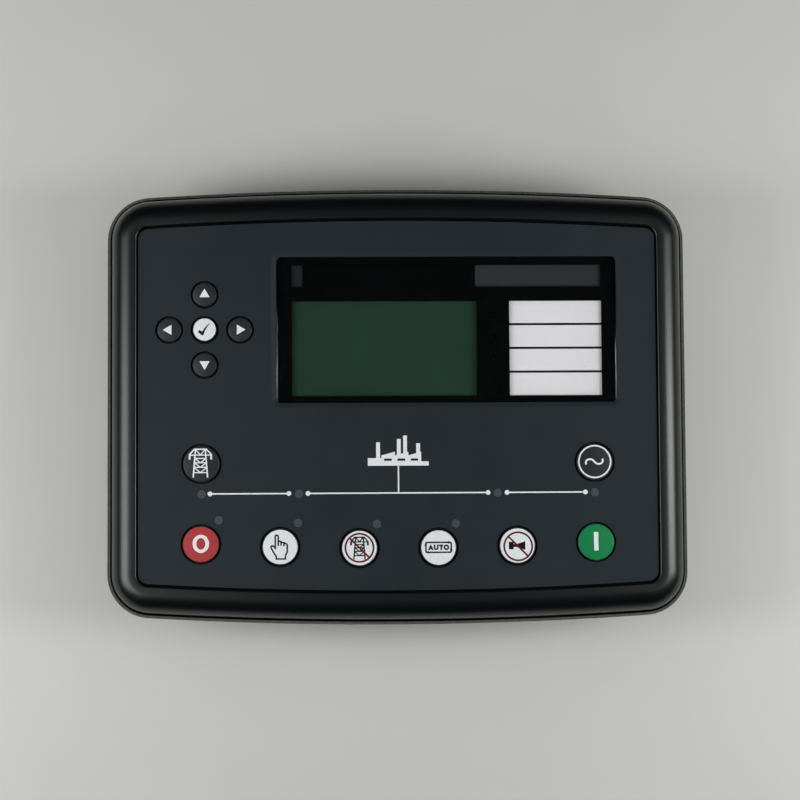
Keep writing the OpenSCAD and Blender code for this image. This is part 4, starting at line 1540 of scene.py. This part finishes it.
    def build_overlay(self) -> None:
        """Builds the overlay with the bevel that leads down to the window."""
        low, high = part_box("fascia_overlay")
        face, back = -low.y / MM, -high.y / MM
        side = self.frame_w * self.side_share + self.overlay_gap
        top = self.frame_w * self.top_share + self.overlay_bow_gap
        bottom = self.frame_w + self.overlay_bow_gap
        drawing = Sketch().fill(self.outline(side, top, bottom, self.corner_r - bottom))
        for hole in self.holes() + [self.window(self.bevel)]:
            drawing.cut(hole)
        shell = Shell()
        shell.flat(drawing, face, face - back, self.flat_spacing)
        tucked = self.bevel + self.bevel_tuck
        bevel = [(self.bevel, face), (self.window_gap, back + self.bevel_land), (self.window_gap, back)]
        bevel += [(tucked, back), (tucked, face - self.bevel_tuck)]
        shell.loft(self.around(self.window, bevel))
        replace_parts(shell.piece("slate_overlay", SLATE_SHEET, HOUSING, "overlay_sheet"), "fascia_overlay")

    def build_gasket(self) -> None:
        """Builds the gasket between the moulding and the panel."""
        low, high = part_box("panel_gasket")
        face, back = -low.y / MM, -high.y / MM
        lip = self.gasket_lip
        drawing = Sketch().fill(self.outline(-lip, -lip, -lip, self.corner_r + lip))
        drawing.cut(rounded_rect(0.0, 0.0, *self.gasket_hole))
        shell = Shell()
        shell.flat(drawing, face, face - back, self.flat_spacing)
        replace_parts(shell.piece("foam_gasket", GASKET_RUBBER, HOUSING, "gasket_rubber"), "panel_gasket")


@dataclass
class Display:
    """The window with the mask, cards, display and fault lamps behind it."""

    solids: Solids
    field_left: float = -39.3
    field_right: float = 32.4
    field_margin: float = 0.2
    divider_w: float = 0.95
    divider_margin: float = 0.3
    card_rows: int = 4
    row_pitch: float = 9.88
    card_margin: float = 1.0

    def build(self) -> None:
        """Dresses the stack and prints the two cards."""
        finishes = {
            "display_window": WINDOW_LENS,
            "display_shroud": SHROUD_BLACK,
            "strip_card": STRIP_CARD,
            "label_card": LABEL_CARD,
            "lcd_glass": DISPLAY_GLASS,
            "lcd_frame": SHEET_TIN,
            "lcd_backlight": BACKLIGHT,
            "fault_lamps": FAULT_LENS,
        }
        for name, finish in finishes.items():
            self.solids.dress(finish, name)
        self.print_field()
        self.print_dividers()

    def print_field(self) -> None:
        """Prints the black field of the strip card, and the darker end beside it, a painted shadow of the
        frame.
        """
        low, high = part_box("strip_card")
        margin = self.field_margin
        bottom, top = low.z / MM + margin, high.z / MM - margin
        end = low.x / MM + margin
        # The second print is painted shadow: the frame's shade on the card's left end.
        prints = (("strip_field", self.field_left, self.field_right, FIELD_INK),
                  ("strip_painted_shadow", end, self.field_left, STRIP_END_SHADOW_INK))
        for name, left, right, ink in prints:
            drawing = Sketch().fill([(left, bottom), (right, bottom), (right, top), (left, top)])
            self.lay(name, drawing, "strip_card", ink)

    def print_dividers(self) -> None:
        """Prints the lines between the label card's rows."""
        low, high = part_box("label_card")
        left, right = low.x / MM + self.divider_margin, high.x / MM - self.divider_margin
        drawing = Sketch()
        for i in range(1, self.card_rows):
            y = low.z / MM + self.card_margin + i * self.row_pitch
            drawing.stroke([(left, y), (right, y)], self.divider_w)
        self.lay("label_dividers", drawing, "label_card", BLACK_INK)

    def lay(self, name: str, drawing: Sketch, card: str, ink: Finish) -> None:
        """Lays ink on a card.

        Args:
            name: Name of the printed piece.
            drawing: What is printed.
            card: The card that carries it.
            ink: What it is printed with.
        """
        face = self.solids.front(card)
        shell = Shell()
        shell.flat(drawing, face + INK_LIFT, INK_T, PRINT_SPACING)
        shell.piece(name, ink, HOUSING, card)


@dataclass
class Inside:
    """The boards and what stands on them."""

    solids: Solids

    def build(self) -> None:
        """Dresses the boards and their parts."""
        self.solids.dress(BOARD_GREEN, "display_board", "io_board")
        self.solids.dress(SWITCH_BLACK, "switch_bodies", "board_links", "relays")
        self.solids.dress(LAMP_CLEAR, "indicator_lamps")
        self.solids.dress(SPACER_BRASS, "board_spacers")
        self.solids.dress(SCREW_ZINC, "board_screws")
        self.solids.dress(CAPACITOR_SLEEVE, "capacitors")


@dataclass
class RearCase:
    """The case behind the panel with its screws, terminal headers and ports."""

    solids: Solids

    def build(self) -> None:
        """Dresses the case and all that looks out of it."""
        self.solids.dress(CASE_BLACK, "rear_case")
        self.solids.dress(SCREW_ZINC, "case_screws")
        self.solids.dress(PIN_TIN, "terminal_pins")
        self.solids.dress(SHEET_TIN, "usb_port", "serial_port")
        self.solids.dress(HEADER_GREEN, *(name for name in self.solids.nodes if name.startswith("header_")))


@dataclass
class Studio:
    """The table that the controller lies on, the lamps and the camera.

    On each side, one lamp lights the colours of the face, one gives the sheen on its gloss, and one
    lights the back.
    """

    eye: Place = (-33.14, -81.64, 1100.0)
    yaw: float = 0.03121
    pitch: float = 0.07636
    roll: float = -0.00672
    focal: float = 2653.0
    frame_px: float = 800.0
    clip: Point = (0.05, 20.0)
    table_colour: str = "#cdcec9"
    table_cloud: float = 60.0
    table_shares: Point = (0.985, 1.015)
    table_gap: float = 0.3
    table_half: float = 2500.0
    lamp_x: float = 515.0
    lamp_y: float = -60.0
    lamp_z: float = 270.0
    lamp_size: Point = (450.0, 200.0)
    lamp_power: float = 2.3
    sheen_x: Point = (-373.0, 437.0)
    sheen_y: Point = (-60.0, 0.0)
    sheen_z: float = 413.0
    sheen_w: float = 380.0
    sheen_h: Point = (320.0, 160.0)
    sheen_power: Point = (2.0, 1.95)
    back_x: float = 450.0
    back_y: float = 300.0
    back_z: float = -700.0
    back_size: Point = (400.0, 800.0)
    back_power: float = 3.5
    ambient: float = 0.29

    def build(self) -> None:
        """Sets up the table, the lamps, the surroundings and the camera."""
        self.lay_table()
        for number, (side, name) in enumerate(((-1, "left"), (1, "right"))):
            near = at(side * self.lamp_x, self.lamp_y, self.lamp_z)
            over = at(self.sheen_x[number], self.sheen_y[number], self.sheen_z)
            behind = at(side * self.back_x, self.back_y, self.back_z)
            lamp = self.hang_lamp("lamp_" + name, near, self.lamp_size, self.lamp_power)
            lamp.visible_glossy = False
            lamp.visible_transmission = False
            size = (self.sheen_w, self.sheen_h[number])
            sheen = self.hang_lamp("sheen_" + name, over, size, self.sheen_power[number])
            sheen.visible_diffuse = False
            self.hang_lamp("back_" + name, behind, self.back_size, self.back_power)
        self.surround()
        self.aim_camera()
        bpy.context.scene.view_settings.view_transform = "Standard"

    def lay_table(self) -> None:
        """Lays a pale table just behind the case. It shows from the front only and lets light pass."""
        level = -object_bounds()[1].y / MM - self.table_gap
        half = self.table_half
        mesh = bpy.data.meshes.new("table")
        corners = [(-half, -half), (half, -half), (half, half), (-half, half)]
        mesh.from_pydata([at(x, y, level) for x, y in corners], [], [(0, 1, 2, 3)])
        table = bpy.data.objects.new("table", mesh)
        bpy.context.scene.collection.objects.link(table)
        wiring = Wiring("table_paper")
        paper = wiring.node("BsdfDiffuse")
        cloud = wiring.ramp(wiring.noise(self.table_cloud, octaves=4), self.table_colour, self.table_shares)
        wiring.link(cloud, paper.inputs["Color"])
        clear = wiring.node("BsdfTransparent")
        side = wiring.node("NewGeometry").outputs["Backfacing"]
        wiring.surface(wiring.mixed(side, paper.outputs["BSDF"], clear.outputs["BSDF"]))
        mesh.materials.append(wiring.material)
        table.visible_shadow = False
        table.visible_diffuse = False
        table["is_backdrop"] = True

    def hang_lamp(self, name: str, place: Vector, size: Point, power: float) -> bpy.types.Object:
        """Hangs a soft lamp that shines on the middle of the face.

        Args:
            name: Name of the lamp.
            place: Where it hangs in the model's frame.
            size: Its width and height in millimetres.
            power: Its power in watts.

        Returns:
            The lamp.
        """
        light = bpy.data.lights.new(name, "AREA")
        light.shape = "RECTANGLE"
        light.size = size[0] * MM
        light.size_y = size[1] * MM
        light.energy = power
        lamp = bpy.data.objects.new(name, light)
        lamp.matrix_world = Matrix.Translation(place) @ (-place).to_track_quat("-Z", "Y").to_matrix().to_4x4()
        bpy.context.scene.collection.objects.link(lamp)
        return lamp

    def surround(self) -> None:
        """Gives the room an even soft light, hidden from reflections, and the camera a pale room."""
        world = bpy.data.worlds.new("room")
        bpy.context.scene.world = world
        world.use_nodes = True
        tree = world.node_tree
        tree.nodes.clear()
        output = tree.nodes.new("ShaderNodeOutputWorld")
        world.cycles_visibility.glossy = False
        world.cycles_visibility.transmission = False
        soft = tree.nodes.new("ShaderNodeBackground")
        soft.inputs["Color"].default_value = (1.0, 1.0, 1.0, 1.0)
        soft.inputs["Strength"].default_value = self.ambient
        pale = tree.nodes.new("ShaderNodeBackground")
        pale.inputs["Color"].default_value = linear(self.table_colour)
        path = tree.nodes.new("ShaderNodeLightPath")
        mix = tree.nodes.new("ShaderNodeMixShader")
        tree.links.new(path.outputs["Is Camera Ray"], mix.inputs["Fac"])
        tree.links.new(soft.outputs["Background"], mix.inputs[1])
        tree.links.new(pale.outputs["Background"], mix.inputs[2])
        tree.links.new(mix.outputs["Shader"], output.inputs["Surface"])

    def aim_camera(self) -> None:
        """Stands the camera where the photographer stood."""
        data = bpy.data.cameras.new("camera")
        data.sensor_fit = "HORIZONTAL"
        data.lens = data.sensor_width * self.focal / self.frame_px
        data.clip_start, data.clip_end = self.clip
        camera = bpy.data.objects.new("camera", data)
        ahead = Vector((
            math.sin(self.yaw) * math.cos(self.pitch),
            math.cos(self.yaw) * math.cos(self.pitch),
            math.sin(self.pitch),
        ))
        level = Vector((math.cos(self.yaw), -math.sin(self.yaw), 0.0))
        rise = level.cross(ahead)
        right = math.cos(self.roll) * level + math.sin(self.roll) * rise
        up = math.cos(self.roll) * rise - math.sin(self.roll) * level
        turn = Matrix((right, up, -ahead)).transposed().to_4x4()
        camera.matrix_world = Matrix.Translation(at(*self.eye)) @ turn
        bpy.context.scene.collection.objects.link(camera)
        bpy.context.scene.camera = camera


def main() -> None:
    """Builds the controller's sub-assemblies in order, then the studio."""
    logging.basicConfig(level=logging.INFO, format="%(name)s: %(message)s")
    for leftover in list(bpy.data.objects):
        bpy.data.objects.remove(leftover, do_unlink=True)
    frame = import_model()
    solids = Solids(frame["nodes"])
    keypad = Keypad(solids)
    fascia = Fascia(solids)
    Bezel(solids, keypad, fascia).build()
    fascia.build()
    Display(solids).build()
    keypad.build()
    Inside(solids).build()
    RearCase(solids).build()
    Studio().build()


if __name__ == "__main__":
    main()
